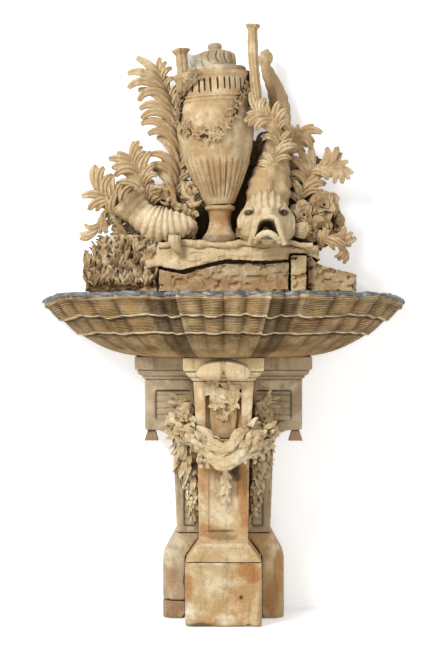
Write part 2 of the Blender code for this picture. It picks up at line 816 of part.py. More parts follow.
def build_water_parts():
    """Waste outlet, lift-out standpipe, waste pipe, supply pipe and spout nozzle."""
    seat_z = FLOOR_Z + GAP
    top = seat_z + OUTLET_THICKNESS
    bore = STANDPIPE_RADIUS + GAP
    tail = BASIN_FOOT
    outlet = (
        (bore, top), (OUTLET_FLANGE - 0.002, top), (OUTLET_FLANGE, seat_z),
        (WASTE_RADIUS, seat_z), (WASTE_RADIUS, tail), (bore, tail),
    )
    turned("waste_outlet", outlet, 16, BRASS, Matrix.Translation(place(0, WASTE_OUT, 0)))

    foot = top + GAP
    inner = STANDPIPE_RADIUS - STANDPIPE_WALL
    lip = STANDPIPE_RADIUS + STANDPIPE_WALL
    head = foot + STANDPIPE_LENGTH
    standpipe = (
        (inner, head), (lip, head), (lip, head - 0.006), (STANDPIPE_RADIUS, head - 0.012),
        (STANDPIPE_RADIUS, foot + 0.014), (STANDPIPE_PLUG, foot + 0.010), (STANDPIPE_PLUG, foot),
        (STANDPIPE_RADIUS, foot), (STANDPIPE_RADIUS, foot - 0.022), (inner, foot - 0.022),
    )
    turned("overflow_standpipe", standpipe, 12, BRASS, Matrix.Translation(place(0, WASTE_OUT, 0)))

    pipe_top = tail - GAP
    inner = WASTE_RADIUS - WASTE_WALL
    waste = ((inner, pipe_top), (WASTE_RADIUS, pipe_top), (WASTE_RADIUS, GAP), (inner, GAP))
    turned("waste_pipe", waste, 12, LEAD, Matrix.Translation(place(0, WASTE_OUT, 0)))

    points = [place(SUPPLY_X, SUPPLY_OUT, 0.02), place(SUPPLY_X, SUPPLY_OUT, SUPPLY_Z - SUPPLY_BEND)]
    for step in range(1, 7):
        angle = math.pi / 2 * step / 6
        points.append(place(
            SUPPLY_X,
            SUPPLY_OUT + SUPPLY_BEND * (1 - math.cos(angle)),
            SUPPLY_Z - SUPPLY_BEND * (1 - math.sin(angle)),
        ))
    points.append(place(SUPPLY_X, NOZZLE_BACK - GAP, SUPPLY_Z))
    mesh = tube_mesh("supply_pipe", points, [SUPPLY_RADIUS] * len(points))
    finish_object("supply_pipe", mesh, COPPER)

    nozzle = (
        (NOZZLE_BORE, NOZZLE_LENGTH), (NOZZLE_RADIUS - 0.001, NOZZLE_LENGTH),
        (NOZZLE_RADIUS, NOZZLE_LENGTH - 0.006), (NOZZLE_RADIUS, 0), (NOZZLE_BORE, 0),
    )
    turn = Matrix.Rotation(math.pi / 2, 4, "X")
    turned("spout_nozzle", nozzle, 12, BRASS,
           Matrix.Translation(place(SUPPLY_X, NOZZLE_BACK, SUPPLY_Z)) @ turn)


def joint_height(x):
    """Height of the long joint between the plinth course and the bed above it."""
    return RIM_Z + float(np.interp(x, [row[0] for row in JOINT_LINE], [row[1] for row in JOINT_LINE]))


def joint_columns(x0, x1, pitch=0.045):
    """Places along the joint: its own corners, and steps of about a pitch between them."""
    places = [x0, x1] + [x for x, _ in JOINT_LINE if x0 < x < x1]
    places += [x for x in np.arange(x0 + pitch, x1 - pitch / 2, pitch)]
    places.sort()
    keep = [places[0]]
    corners = {x for x, _ in JOINT_LINE}
    for x in places[1:]:
        if x - keep[-1] > 0.0002 and (x in corners or x == x1 or x - keep[-1] > pitch / 3):
            keep.append(x)
    return keep


def rock(name, columns, low, high, front, look, rough=0.014, rows=4, lean=0.0, seed=0.0):
    """Rock with a flat back, foot and ends, and a weathered face: a loft of upright sections along x.

    The face is drawn back by up to rough, by a noise of its place, and leans back by lean at its top.
    """
    rings = []
    for x in columns:
        foot = low(x)
        top = high(x)
        out = front(x)
        ring = [place(x, 0, foot)]
        for row in range(rows + 1):
            share = row / rows
            z = foot + (top - foot) * share
            wear = 0.5 + 0.5 * noise.noise(Vector((x * 17 + seed, z * 21, seed)))
            ring.append(place(x, out - lean * share ** 2 - rough * wear, z))
        ring.append(place(x, 0, top))
        rings.append(ring)
    return loft(name, rings, look, fan=True)


def build_rocks():
    """Plinth course on the ledge, bed and seaweed rock above the joint, and mounds behind the leaves."""
    foot = RIM_Z + GAP
    course = (
        ("rock_plinth_left", COURSE_LEFT, SLAB_LEFT, 0.235, 0.020, TERRACOTTA),
        ("plinth_slab", SLAB_LEFT + GAP, PILLAR_LEFT - 2 * GAP, SLAB_OUT, 0.004, TERRACOTTA),
        ("rock_pillar", PILLAR_LEFT + GAP, PILLAR_RIGHT, PILLAR_OUT, 0.018, LIMEWASHED),
        ("rock_ledge_right", PILLAR_RIGHT + GAP, COURSE_RIGHT, 0.235, 0.016, TERRACOTTA),
    )
    for seed, (name, x0, x1, out, rough, look) in enumerate(course):
        rock(name, joint_columns(x0, x1), lambda x: foot, lambda x: joint_height(x) - GAP,
             lambda x: out, look, rough, 4, 0.0, seed * 3.1)

    def bed_front(x):
        return float(np.interp(x, (BED_LEFT, -0.2, 0.25, BED_RIGHT), (0.262, BED_OUT, BED_OUT, 0.235)))

    rock("rock_bed", joint_columns(BED_LEFT, BED_RIGHT), joint_height, lambda x: BED_TOP,
         bed_front, TERRACOTTA, 0.014, 3, 0.02, 7.7)

    def seaweed_top(x):
        places = (COURSE_LEFT, -0.44, -0.36, BED_LEFT)
        return BED_TOP + float(np.interp(x, places, (-0.075, -0.02, 0.01, 0)))

    rock("seaweed_rock", joint_columns(COURSE_LEFT, BED_LEFT - GAP, 0.030), joint_height, seaweed_top,
         lambda x: 0.245 + 0.02 * math.sin(x * 120), TERRACOTTA, 0.030, 4, 0.02, 2.3)

    def left_top(x):
        places = (BED_LEFT, -0.26, -0.21, -0.150, -0.130)
        return BED_TOP + float(np.interp(x, places, (0.11, 0.17, 0.20, 0.19, 0.125)))

    behind = VASE_OUT - FOOT_RADIUS - 0.008
    left_columns = list(np.linspace(BED_LEFT, -0.150, 6)) + [-0.130, -0.075, VASE_X - GAP]
    rock("rock_mound_left", left_columns, lambda x: BED_TOP + GAP, left_top,
         lambda x: float(np.interp(x, (-0.150, -0.130), (0.150, behind))), TERRACOTTA, 0.020, 4, 0.05, 5.5)

    def right_top(x):
        places = (0.060, 0.10, 0.2, 0.3, BED_RIGHT)
        return BED_TOP + float(np.interp(x, places, (0.125, 0.19, 0.22, 0.205, 0.13)))

    right_columns = [VASE_X, 0.030, 0.080] + list(np.linspace(0.100, BED_RIGHT, 8))
    rock("rock_mound_right", right_columns, lambda x: BED_TOP + GAP, right_top,
         lambda x: float(np.interp(x, (0.080, 0.100), (behind, 0.140))), TERRACOTTA, 0.020, 4, 0.05, 9.1)


def vase_frame():
    """Place and lean of the vase: its origin is the top of the foot."""
    return Matrix.Translation(place(VASE_X, VASE_OUT, FOOT_TOP)) @ Matrix.Rotation(
        -math.radians(VASE_LEAN), 4, "Y"
    )


def vase_profile():
    """Outside of the vase from rim to foot, in shares of its height and real radii."""
    return (
        (0.145, 1.0), (0.145, 0.975), (0.137, 0.950), (0.137, 0.925), (0.137, 0.85), (0.137, 0.82),
        (0.142, 0.81), (0.142, 0.79), (0.137, 0.775), (0.143, 0.69), (0.144, 0.55), (0.134, 0.42),
        (0.117, 0.31), (0.092, 0.18), (0.064, 0.06), (0.052, 0.0),
    )


def build_vase():
    """Foot, hollow body with gadroons and a fluted frieze, lid, handles and dowel."""
    foot_place = Matrix.Translation(place(VASE_X, VASE_OUT, 0))
    foot = BED_TOP + GAP
    top = FOOT_TOP - 2 * GAP - math.sin(math.radians(VASE_LEAN)) * COLLAR_RADIUS
    height = top - foot
    profile = ((0.051, 1.0), (COLLAR_RADIUS, 0.96), (COLLAR_RADIUS, 0.90), (0.046, 0.85),
               (STEM_RADIUS, 0.78), (0.041, 0.55), (0.050, 0.32), (FOOT_RADIUS, 0.12), (FOOT_RADIUS, 0.0))
    rows = [(0, top)] + [(radius, foot + height * share) for radius, share in profile] + [(0, foot)]
    turned("vase_foot", rows, 16, PINK_TERRACOTTA, foot_place)

    outside = [(radius, share * VASE_HEIGHT) for radius, share in vase_profile()]
    inside = [(0, 0.040), (0.045, 0.045)]
    for radius, z in (outside[12], outside[10]):
        inside.append((radius - VASE_WALL, z + VASE_WALL / 2))
    inside += [(MOUTH_RADIUS, 0.80 * VASE_HEIGHT), (MOUTH_RADIUS, VASE_HEIGHT)]
    frame = vase_frame()
    mesh = turned_mesh("vase_body", inside + outside + [(0, 0)], VASE_SEGMENTS)
    carve_flutes(mesh)
    mesh.transform(frame)
    body = finish_object("vase_body", mesh, TERRACOTTA)

    dowel_low = foot - DOWEL_LENGTH / 2
    dowel_high = foot + DOWEL_LENGTH / 2
    start = place(VASE_X, VASE_OUT, dowel_low)
    end = place(VASE_X, VASE_OUT, dowel_high)
    rim = Vector((0, 0, GAP))
    for name in ("vase_foot", "rock_bed"):
        cut(bpy.data.objects[name], rod_mesh("dowel_bore", start - rim, end + rim, DOWEL_RADIUS + GAP))
    finish_object("vase_dowel", rod_mesh("vase_dowel", start, end, DOWEL_RADIUS), IRON)

    rest = VASE_HEIGHT + GAP
    spigot = MOUTH_RADIUS - LID_SHIFT - 4 * GAP
    lid = (
        (0, LID_HEIGHT), (0.018, LID_HEIGHT - 0.003), (0.025, LID_HEIGHT - 0.016),
        (0.018, LID_HEIGHT - 0.027), (0.044, LID_HEIGHT - 0.032), (0.068, 0.066), (0.074, 0.034),
        (LID_RADIUS - 0.006, 0.022), (LID_RADIUS, 0.014), (LID_RADIUS, 0.0), (spigot, 0.0),
        (spigot, -SPIGOT_DEPTH), (0, -SPIGOT_DEPTH),
    )
    turned("vase_lid", lid, 24, TERRACOTTA, frame @ Matrix.Translation((LID_SHIFT, 0, rest)))

    build_handle("handle_right", HANDLE_TURNS[0], HANDLE_RISE, body)
    build_handle("handle_left", HANDLE_TURNS[1], HANDLE_BROKEN_RISE, body)


def carve_flutes(mesh):
    """Draw in the vase between its gadroons below, and in every other flute of the frieze above."""
    step = 2 * math.pi / VASE_SEGMENTS
    for vert in mesh.vertices:
        radius = math.hypot(vert.co.x, vert.co.y)
        share = vert.co.z / VASE_HEIGHT
        column = round(math.atan2(vert.co.y, vert.co.x) / step)
        outer = np.interp(share, [row[1] for row in reversed(vase_profile())],
                          [row[0] for row in reversed(vase_profile())])
        if radius < outer - VASE_WALL / 2:
            continue
        depth = 0.0
        if 0.01 < share < 0.36 and column % 3 == 0:
            depth = GADROON_DEPTH * radius * min(1.0, (0.38 - share) * 8)
        if 0.84 < share < 0.94 and column % 2 == 0:
            depth = FRIEZE_DEPTH
        vert.co.x *= 1 - depth / max(radius, 0.001)
        vert.co.y *= 1 - depth / max(radius, 0.001)


def build_handle(name, turn, rise, body):
    """Upright post with a scrolled foot on the vase's shoulder and a flared top."""
    inner = HANDLE_RADIUS - 0.004
    outer = HANDLE_RADIUS + 0.034
    shoulder = 0.70 * VASE_HEIGHT
    top = shoulder + rise
    outline = [
        (0.130, shoulder - 0.016), (0.152, shoulder - 0.030), (0.172, shoulder - 0.020),
        (outer - 0.004, shoulder + 0.012), (outer - 0.002, top - 0.06), (outer + 0.004, top - 0.022),
        (outer + 0.010, top), (inner - 0.006, top), (inner - 0.001, top - 0.03),
        (inner + 0.002, top - 0.07), (inner, shoulder + 0.03), (0.130, shoulder + 0.012),
    ]
    mesh = prism_mesh(name, outline, -HANDLE_WIDTH / 2, HANDLE_WIDTH / 2)
    mesh.transform(Matrix.Translation((0, -WALL_Y, 0)))
    mesh.transform(vase_frame() @ Matrix.Rotation(math.radians(turn), 4, "Z"))
    post = finish_object(name, mesh, TERRACOTTA)
    seat(post, body.name)


def frame_along(path, facing):
    """Tangent, side and front vectors at each point of a path that faces a given way."""
    tangents = np.gradient(path, axis=0)
    tangents /= np.linalg.norm(tangents, axis=1, keepdims=True)
    sides = np.cross(tangents, np.broadcast_to(facing, tangents.shape))
    sides /= np.linalg.norm(sides, axis=1, keepdims=True)
    fronts = np.cross(sides, tangents)
    return tangents, sides, fronts


def frond(name, root, bend, tip, widths, lobes, look=TERRACOTTA, cup=0.35, thickness=0.013, curl=0.0):
    """Acanthus leaf: sections lofted along a midrib from root past bend to tip.

    Each lobe widens from its notch to a shoulder and a point, and every section is swept forward by
    LEAF_SWEEP times its distance from the midrib, so that the lobes lie like fingers. The margins bend
    back by cup times the square of the distance, and the last third rolls forward by curl.
    """
    root, bend, tip = (np.array(place(*point)) for point in (root, bend, tip))
    shares = [0.0, 0.10]
    notch = [0.10, 0.12]
    for lobe in range(lobes):
        start = 0.12 + 0.88 * lobe / lobes
        span = 0.88 / lobes
        shares += [start + 0.06 * span, start + 0.45 * span, start + 0.80 * span]
        notch += [0.30, 0.95, 1.0]
    shares.append(1.0)
    notch.append(0.08)
    shares = np.array(shares)
    envelope = np.sin(math.pi * np.clip(0.12 + 0.86 * shares, 0, 1)) ** 0.75
    widths_along = np.maximum(np.array(notch) * envelope, 0.05)
    t = shares[:, None]
    path = (1 - t) ** 2 * root + 2 * t * (1 - t) * bend + t ** 2 * tip
    path[:, 1] -= curl * np.clip(shares - 0.66, 0, 1) ** 2 * 9
    tangents, sides, fronts = frame_along(path, np.array((0.0, -1.0, 0.0)))
    blade = ((-1, 0), (-0.5, 1), (0, 1.25), (0.5, 1), (1, 0), (0.5, -1), (0, -1), (-0.5, -1))
    rings = []
    for index in range(len(shares)):
        left, right = (width * widths_along[index] for width in widths)
        thick = thickness * (1 - 0.55 * shares[index])
        ring = []
        for reach, face in blade:
            width = left if reach < 0 else right
            offset = reach * width
            bow = -cup * width * reach ** 2 + face * thick / 2
            forward = LEAF_SWEEP * abs(offset)
            swept = sides[index] * offset + fronts[index] * bow + tangents[index] * forward
            ring.append(path[index] + swept)
        rings.append(ring)
    return loft(name, rings, look, fan=True)


def lumpy(name, points, look, sides=10, steps=3, lump=0.16, waves=2.3, seed=0.0, flat=0.8):
    """Roll of fruit, leaves or cloth: rows of x, out, z and radius, swelling by a noise along the way."""
    path = smooth_path(points, steps)
    centres = np.array([tuple(place(*row[:3])) for row in path])
    tangents, across, fronts = frame_along(centres, np.array((0.0, -1.0, 0.15)))
    rings = []
    for index, centre in enumerate(centres):
        radius = max(path[index][3], 0.001)
        ring = []
        for step in range(sides):
            angle = 2 * math.pi * step / sides
            spot = Vector((index * waves + seed, math.cos(angle) * 1.7, math.sin(angle) * 1.7))
            swell = 1 + 2 * lump * noise.noise(spot)
            reach = across[index] * math.cos(angle) + fronts[index] * math.sin(angle) * flat
            ring.append(centre + reach * radius * swell)
        rings.append(ring)
    return loft(name, rings, look, fan=True)


def rose_mesh(name, middle, radius, facing):
    """Open flower: a ring of five petals round a raised heart, from a radius that follows the petals."""
    turn = Vector(facing).to_track_quat("Z", "Y").to_matrix().to_4x4()
    matrix = Matrix.Translation(place(*middle)) @ turn
    rings = []
    for reach, rise in ((0.5, -0.75), (1.0, 0.0), (0.62, 0.28), (0.40, 0.20), (0.28, 0.5)):
        ring = []
        for step in range(10):
            angle = 2 * math.pi * step / 10
            petal = radius * reach * (1 + 0.14 * reach * math.cos(5 * angle))
            spot = Vector((petal * math.cos(angle), petal * math.sin(angle), radius * rise))
            ring.append(matrix @ spot)
        rings.append(ring)
    return loft_mesh(name, rings, True)


def head_rings(grow=0.0):
    """Dolphin's head from nape to snout, wider below than above: rings of way out, size and height."""
    sections = (
        (0.130, 0.062, 0.075, 0.105), (0.165, 0.088, 0.092, 0.100), (0.205, 0.104, 0.100, 0.096),
        (0.245, 0.108, 0.100, 0.090), (0.280, 0.094, 0.088, 0.080), (0.312, 0.078, 0.072, 0.068),
        (0.338, 0.066, 0.056, 0.056), (0.352, 0.050, 0.040, 0.050),
    )
    rings = []
    for out, half, rise, middle in sections:
        ring = []
        for step in range(16):
            angle = 2 * math.pi * step / 16
            across = math.copysign(abs(math.cos(angle)) ** 0.8, math.cos(angle))
            up = math.copysign(abs(math.sin(angle)) ** 0.8, math.sin(angle))
            spread = 1 - 0.22 * up
            x = HEAD_X + (half + grow) * across * spread
            z = BED_TOP + middle + (rise + grow) * up
            ring.append(place(x, out - grow * (out == sections[0][0]), z))
        rings.append(ring)
    return rings


def build_dolphin():
    """Head with an open mouth, lower jaw, arched body, tail fluke and side fin."""
    head = loft("dolphin_head", head_rings(), LIMEWASHED, fan=True)
    low = BED_TOP - 0.03
    mouth = []
    for out, top_half, foot_half, top in (
        (MOUTH_BACK, 0.020, 0.030, MOUTH_TOP - 0.022), (0.30, 0.026, 0.044, MOUTH_TOP - 0.008),
        (0.37, 0.030, 0.058, MOUTH_TOP),
    ):
        mouth.append([
            place(HEAD_X - foot_half, out, low), place(HEAD_X + foot_half, out, low),
            place(HEAD_X + top_half, out, BED_TOP + top), place(HEAD_X - top_half, out, BED_TOP + top),
        ])
    cut(head, loft_mesh("mouth", mouth), rod_mesh(
        "nozzle_bore", place(SUPPLY_X, 0.05, SUPPLY_Z),
        place(SUPPLY_X, NOZZLE_BACK + NOZZLE_LENGTH, SUPPLY_Z), NOZZLE_RADIUS + GAP, 20,
    ))
    seat(head, "rock_bed")

    jaw = []
    for out, half, rise in ((MOUTH_BACK + 0.004, 0.022, 0.014), (0.285, 0.034, 0.022),
                            (0.310, 0.042, 0.030), (0.332, 0.040, 0.034), (0.346, 0.028, 0.020)):
        ring = []
        for across, up in JAW_SECTION:
            ring.append(place(HEAD_X + half * across, out, BED_TOP + GAP + 0.002 + rise * up))
        jaw.append(ring)
    jaw_piece = loft("dolphin_lower_jaw", jaw, LIMEWASHED, fan=True)
    seat(jaw_piece, "rock_bed", "dolphin_head")

    spine = (
        (HEAD_X, 0.150, BED_TOP + 0.115, 0.074), (HEAD_X + 0.012, 0.150, BED_TOP + 0.20, 0.082),
        (0.185, 0.125, BED_TOP + 0.285, 0.066), (0.205, 0.085, BED_TOP + 0.39, 0.046),
        (0.215, 0.070, BED_TOP + 0.49, 0.040), (0.205, 0.065, BED_TOP + 0.565, 0.036),
        (0.175, 0.070, BED_TOP + 0.64, 0.026), (0.155, 0.075, BED_TOP + 0.69, 0.016),
    )
    body = lumpy("dolphin_body", spine, TERRACOTTA, 12, 2, 0.03, 0.3, 4.0, 1.0)
    cut(body, loft_mesh("nape", head_rings(2 * GAP), True))
    seat(body, "rock_bed", "vase_body", "vase_foot")
    cut(body, rod_mesh("supply_bore", place(SUPPLY_X, 0.0, SUPPLY_Z),
                       place(SUPPLY_X, NOZZLE_BACK, SUPPLY_Z), NOZZLE_RADIUS + GAP))
    frond("dolphin_fluke", (0.157, 0.074, BED_TOP + 0.680), (0.150, 0.078, BED_TOP + 0.72),
          (0.140, 0.085, BED_TOP + 0.760), (0.042, 0.042), 1, TERRACOTTA, 0.2, 0.020)
    seat(bpy.data.objects["dolphin_fluke"], "dolphin_body", "vase_body", "handle_right")
    frond("dolphin_fin_right", (0.245, 0.205, BED_TOP + 0.055), (0.285, 0.235, BED_TOP + 0.060),
          (0.320, 0.245, BED_TOP + 0.020), (0.034, 0.034), 3, TERRACOTTA, 0.3, 0.014)
    seat(bpy.data.objects["dolphin_fin_right"], "dolphin_head", "rock_bed")

    mound = bpy.data.objects["rock_mound_right"]
    cut(mound, loft_mesh("nape", head_rings(2 * GAP), True))
    seat(mound, "dolphin_body")
    cut(mound, rod_mesh("mound_bore", place(SUPPLY_X, 0.0, SUPPLY_Z),
                        place(SUPPLY_X, NOZZLE_BACK, SUPPLY_Z), NOZZLE_RADIUS + GAP))


def build_shells():
    """Conch lying on the bed, the small open shell before it, and the coral behind."""
    base = BED_TOP
    axis = (
        (-0.098, 0.225, base + 0.072, 0.003), (-0.112, 0.225, base + 0.071, 0.020),
        (-0.135, 0.225, base + 0.069, 0.036), (-0.165, 0.225, base + 0.066, 0.050),
        (-0.200, 0.222, base + 0.064, 0.063), (-0.240, 0.220, base + 0.068, 0.067),
        (-0.280, 0.218, base + 0.085, 0.060), (-0.310, 0.214, base + 0.108, 0.052),
        (-0.338, 0.210, base + 0.136, 0.062), (-0.358, 0.206, base + 0.158, 0.078),
    )
    path = smooth_path(axis, 2)
    centres = np.array([tuple(place(*row[:3])) for row in path])
    _, across, fronts = frame_along(centres, np.array((0.0, -1.0, 0.0)))
    rings = []
    for index, centre in enumerate(centres):
        whorl = 1 + 0.07 * (index % 2 == 0) * (index < len(centres) - 3)
        radius = path[index][3] * whorl
        ring = [centre + (across[index] * math.cos(a) + fronts[index] * math.sin(a)) * radius
                for a in np.linspace(0, 2 * math.pi, 14, endpoint=False)]
        rings.append(ring)
    conch = loft("conch_shell", rings, LIMEWASHED, fan=True)
    hollow = []
    for back, share in ((9, 0.30), (7, 0.55), (5, 0.72), (3, 0.80), (1, 0.90)):
        centre = centres[-back]
        hollow.append([centre + (point - centre) * share for point in rings[-back]])
    hollow.append([point + (centres[-1] - centres[-2]) for point in hollow[-1]])
    cut(conch, loft_mesh("conch_mouth", hollow, True))
    seat(conch, "rock_bed", "seaweed_rock", "rock_mound_left", "vase_foot", "vase_body")

    spout = [(-0.186, 0.282, base + 0.028), (-0.178, 0.288, base + 0.005), (-0.164, 0.286, base - 0.03),
             (-0.150, 0.278, base - 0.062)]
    mesh = tube_mesh("small_shell", [place(*point) for point in spout], (0.026, 0.022, 0.017, 0.008), 2)
    small = finish_object("small_shell", mesh, TERRACOTTA)
    mouth = [place(-0.190, 0.281, base + 0.044), place(-0.179, 0.287, base + 0.008)]
    cut(small, tube_mesh("small_shell_bore", mouth, (0.021, 0.008), 1))
    seat(small, "rock_bed", "plinth_slab", "conch_shell")

    trunk = [(-0.122, 0.135, base - 0.01), (-0.126, 0.150, base + 0.08), (-0.118, 0.165, base + 0.16),
             (-0.105, 0.180, base + 0.235)]
    mesh = tube_mesh("coral_branch", [place(*point) for point in trunk], (0.022, 0.020, 0.015, 0.008), 1)
    coral = finish_object("coral_branch", mesh, LIMEWASHED)
    branches = (
        ((-0.124, 0.155, 0.11), (-0.185, 0.180, 0.150), (-0.262, 0.200, 0.200)),
        ((-0.185, 0.180, 0.150), (-0.192, 0.185, 0.185), (-0.215, 0.190, 0.225)),
        ((-0.120, 0.162, 0.15), (-0.145, 0.175, 0.190), (-0.150, 0.180, 0.232)),
        ((-0.124, 0.150, 0.09), (-0.105, 0.185, 0.110), (-0.098, 0.215, 0.105)),
    )
    for start, bend, end in branches:
        rows = [place(x, out, base + rise) for x, out, rise in (start, bend, end)]
        join(coral, tube_mesh("coral_arm", rows, (0.014, 0.012, 0.006), 1))
    seat(coral, "rock_bed", "rock_mound_left", "conch_shell", "vase_foot", "vase_body")


def build_leaves():
    """Fronds rooted in the mounds, the flowers and the low foliage."""
    base = BED_TOP
    fronds = (
        ("frond_left_tall", (-0.185, 0.075, 0.140), (-0.165, 0.080, 0.42), (-0.250, 0.105, 0.685),
         (0.140, 0.040), 6, 0.02),
        ("frond_left_low", (-0.265, 0.095, 0.060), (-0.300, 0.120, 0.22), (-0.350, 0.150, 0.345),
         (0.085, 0.060), 4, 0.02),
        ("frond_left_fan", (-0.290, 0.105, 0.045), (-0.380, 0.150, 0.12), (-0.500, 0.190, 0.215),
         (0.060, 0.080), 4, 0.01),
        ("leaf_left_curled", (-0.345, 0.170, -0.005), (-0.430, 0.190, 0.140), (-0.485, 0.215, 0.030),
         (0.040, 0.040), 2, 0.0),
        ("frond_right_leaning", (0.190, 0.170, 0.270), (0.200, 0.240, 0.42), (0.105, 0.265, 0.500),
         (0.035, 0.045), 4, 0.0),
        ("frond_right_inner", (0.235, 0.080, 0.150), (0.225, 0.095, 0.33), (0.300, 0.130, 0.455),
         (0.045, 0.060), 4, 0.02),
        ("frond_right_outer", (0.290, 0.085, 0.140), (0.330, 0.120, 0.28), (0.440, 0.160, 0.285),
         (0.065, 0.060), 4, 0.02),
    )
    for name, root, bend, tip, widths, lobes, curl in fronds:
        rows = [(x, out, base + rise) for x, out, rise in (root, bend, tip)]
        frond(name, *rows, widths, lobes, curl=curl)
    placed = ["rock_mound_left", "rock_mound_right", "seaweed_rock", "rock_bed", "conch_shell",
              "coral_branch", "vase_body", "vase_foot", "handle_right", "handle_left", "dolphin_body",
              "dolphin_head", "dolphin_fin_right", "dolphin_fluke"]
    for row in fronds:
        seat(bpy.data.objects[row[0]], *placed)
        placed.append(row[0])

    mass = ((0.318, 0.105, base - 0.004, 0.070), (0.345, 0.105, base + 0.06, 0.088),
            (0.362, 0.100, base + 0.13, 0.070), (0.350, 0.095, base + 0.185, 0.03))
    flowers = lumpy("flower_cluster", mass, TERRACOTTA, 8, 2, 0.15, 1.4, 3.3, 1.0)
    roses = (
        ((0.378, 0.175, base + 0.150), 0.045, (0.1, -1, 0.2)),
        ((0.300, 0.185, base + 0.108), 0.040, (-0.2, -1, 0.1)),
        ((0.432, 0.130, base + 0.085), 0.042, (0.7, -1, 0.0)),
        ((0.362, 0.195, base + 0.050), 0.040, (0.1, -1, -0.1)),
    )
    for middle, radius, facing in roses:
        join(flowers, rose_mesh("rose", middle, radius, facing))
    seat(flowers, *placed, "rock_ledge_right", "rock_pillar")
    frond("foliage_right", (0.360, 0.170, base - 0.005), (0.400, 0.205, base + 0.020),
          (0.450, 0.200, base - 0.020), (0.040, 0.045), 3, cup=0.15)
    seat(bpy.data.objects["foliage_right"], *placed, "flower_cluster", "rock_ledge_right")


def build_garlands():
    """Swag, drops and rosette on the pier, shell on the capital, oak spray, and ivy on the vase."""
    low = SHAFT_TOP
    swag = (
        (-0.170, 0.236, low - 0.150, 0.028), (-0.152, 0.300, low - 0.178, 0.046),
        (-0.112, 0.385, low - 0.190, 0.050), (-0.060, 0.420, low - 0.232, 0.050),
        (-0.005, 0.424, low - 0.262, 0.050), (0.055, 0.418, low - 0.245, 0.052),
        (0.108, 0.388, low - 0.196, 0.052), (0.147, 0.305, low - 0.200, 0.046),
        (0.160, 0.236, low - 0.180, 0.028),
    )
    garland = lumpy("garland_swag", swag, LIMEWASHED, 8, 2, 0.20, 1.9, 1.0, 0.85)
    tail = ((0.006, 0.418, low - 0.270, 0.024), (0.006, 0.406, low - 0.34, 0.019),
            (0.003, 0.399, low - 0.425, 0.006))
    path = smooth_path(tail, 2)
    join(garland, tube_mesh("garland_tail", [place(*row[:3]) for row in path], [row[3] for row in path], 1))
    seat(garland, "pier_shaft", "niche_tablet", "wing_left", "wing_right")

    drops = (
        ("garland_drop_left", ((-0.135, 0.240, low - 0.085, 0.026), (-0.145, 0.248, low - 0.17, 0.046),
                               (-0.138, 0.248, low - 0.28, 0.046), (-0.116, 0.243, low - 0.38, 0.034),
                               (-0.108, 0.236, low - 0.525, 0.016)), 6.0),
        ("garland_drop_right", ((0.135, 0.240, low - 0.085, 0.026), (0.148, 0.248, low - 0.17, 0.044),
                                (0.136, 0.248, low - 0.28, 0.038), (0.122, 0.243, low - 0.38, 0.030),
                                (0.112, 0.236, low - 0.500, 0.014)), 8.0),
    )
    for name, rows, seed in drops:
        drop = lumpy(name, rows, LIMEWASHED, 8, 2, 0.22, 1.7, seed, 0.8)
        seat(drop, "pier_shaft", "wing_left", "wing_right", "garland_swag")
    petals = rose_mesh("rosette_right", (0.146, 0.270, low - 0.345), 0.030, (0.2, -1, 0))
    rosette = finish_object("rosette_right", petals, LIMEWASHED)
    seat(rosette, "garland_drop_right", "wing_right", "pier_shaft", "garland_swag")

    build_capital_shell()

    spray_out = SHAFT_OUT - NICHE_DEPTH + TABLET_THICKNESS
    spray = frond("oak_spray", (0.0, spray_out, low - 0.020), (0.010, spray_out + 0.014, low - 0.09),
                  (0.0, spray_out, low - 0.165), (0.048, 0.048), 4, LIMEWASHED, 0.1, 0.014)
    seat(spray, "niche_tablet", "pier_shaft", "capital_shell", "pier_capital", "garland_swag")

    build_ivy("ivy_garland", (
        (-12, 0.94, 0.010), (-28, 0.88, 0.019), (-44, 0.79, 0.019), (-62, 0.66, 0.018), (-80, 0.555, 0.019),
        (-96, 0.50, 0.018), (-114, 0.525, 0.018), (-134, 0.56, 0.017), (-150, 0.60, 0.010),
    ), 2.0)
    build_ivy("ivy_shoulder", (
        (-112, 0.99, 0.010), (-124, 0.92, 0.019), (-138, 0.84, 0.021), (-150, 0.72, 0.016),
        (-156, 0.64, 0.009),
    ), 5.0)


def build_capital_shell():
    """Shell draped over the capital: two drooping lobes, each half a sine wide, under a small upper lip."""
    face = SHAFT_OUT + MOULDING[-1][1] + GAP
    rings = []
    for across in np.linspace(-1, 1, 19):
        lobe = abs(math.sin(math.pi * np.clip(abs(across), 0.07, 0.97))) ** 0.5
        drop = CAPITAL_SHELL_DROP * (0.55 + 0.45 * lobe) * (1 - 0.35 * across ** 4)
        proud = CAPITAL_SHELL_PROUD * (0.35 + 0.65 * lobe)
        crest = PEDESTAL_TOP - 0.003 - CAPITAL_SHELL_DROP * 0.55 * abs(across) ** 1.6
        ring = []
        for out, z in ((0, 0), (0.45, 0.02), (0.85, -0.25), (1.0, -0.65), (0.75, -1.0), (0.0, -0.92)):
            ring.append(place(across * CAPITAL_SHELL_HALF, face + proud * out, crest + drop * z))
        rings.append(ring)
    shell = loft("capital_shell", rings, WARM, fan=True)
    seat(shell, "pier_capital", "pier_shaft", "niche_tablet", "shell_basin")


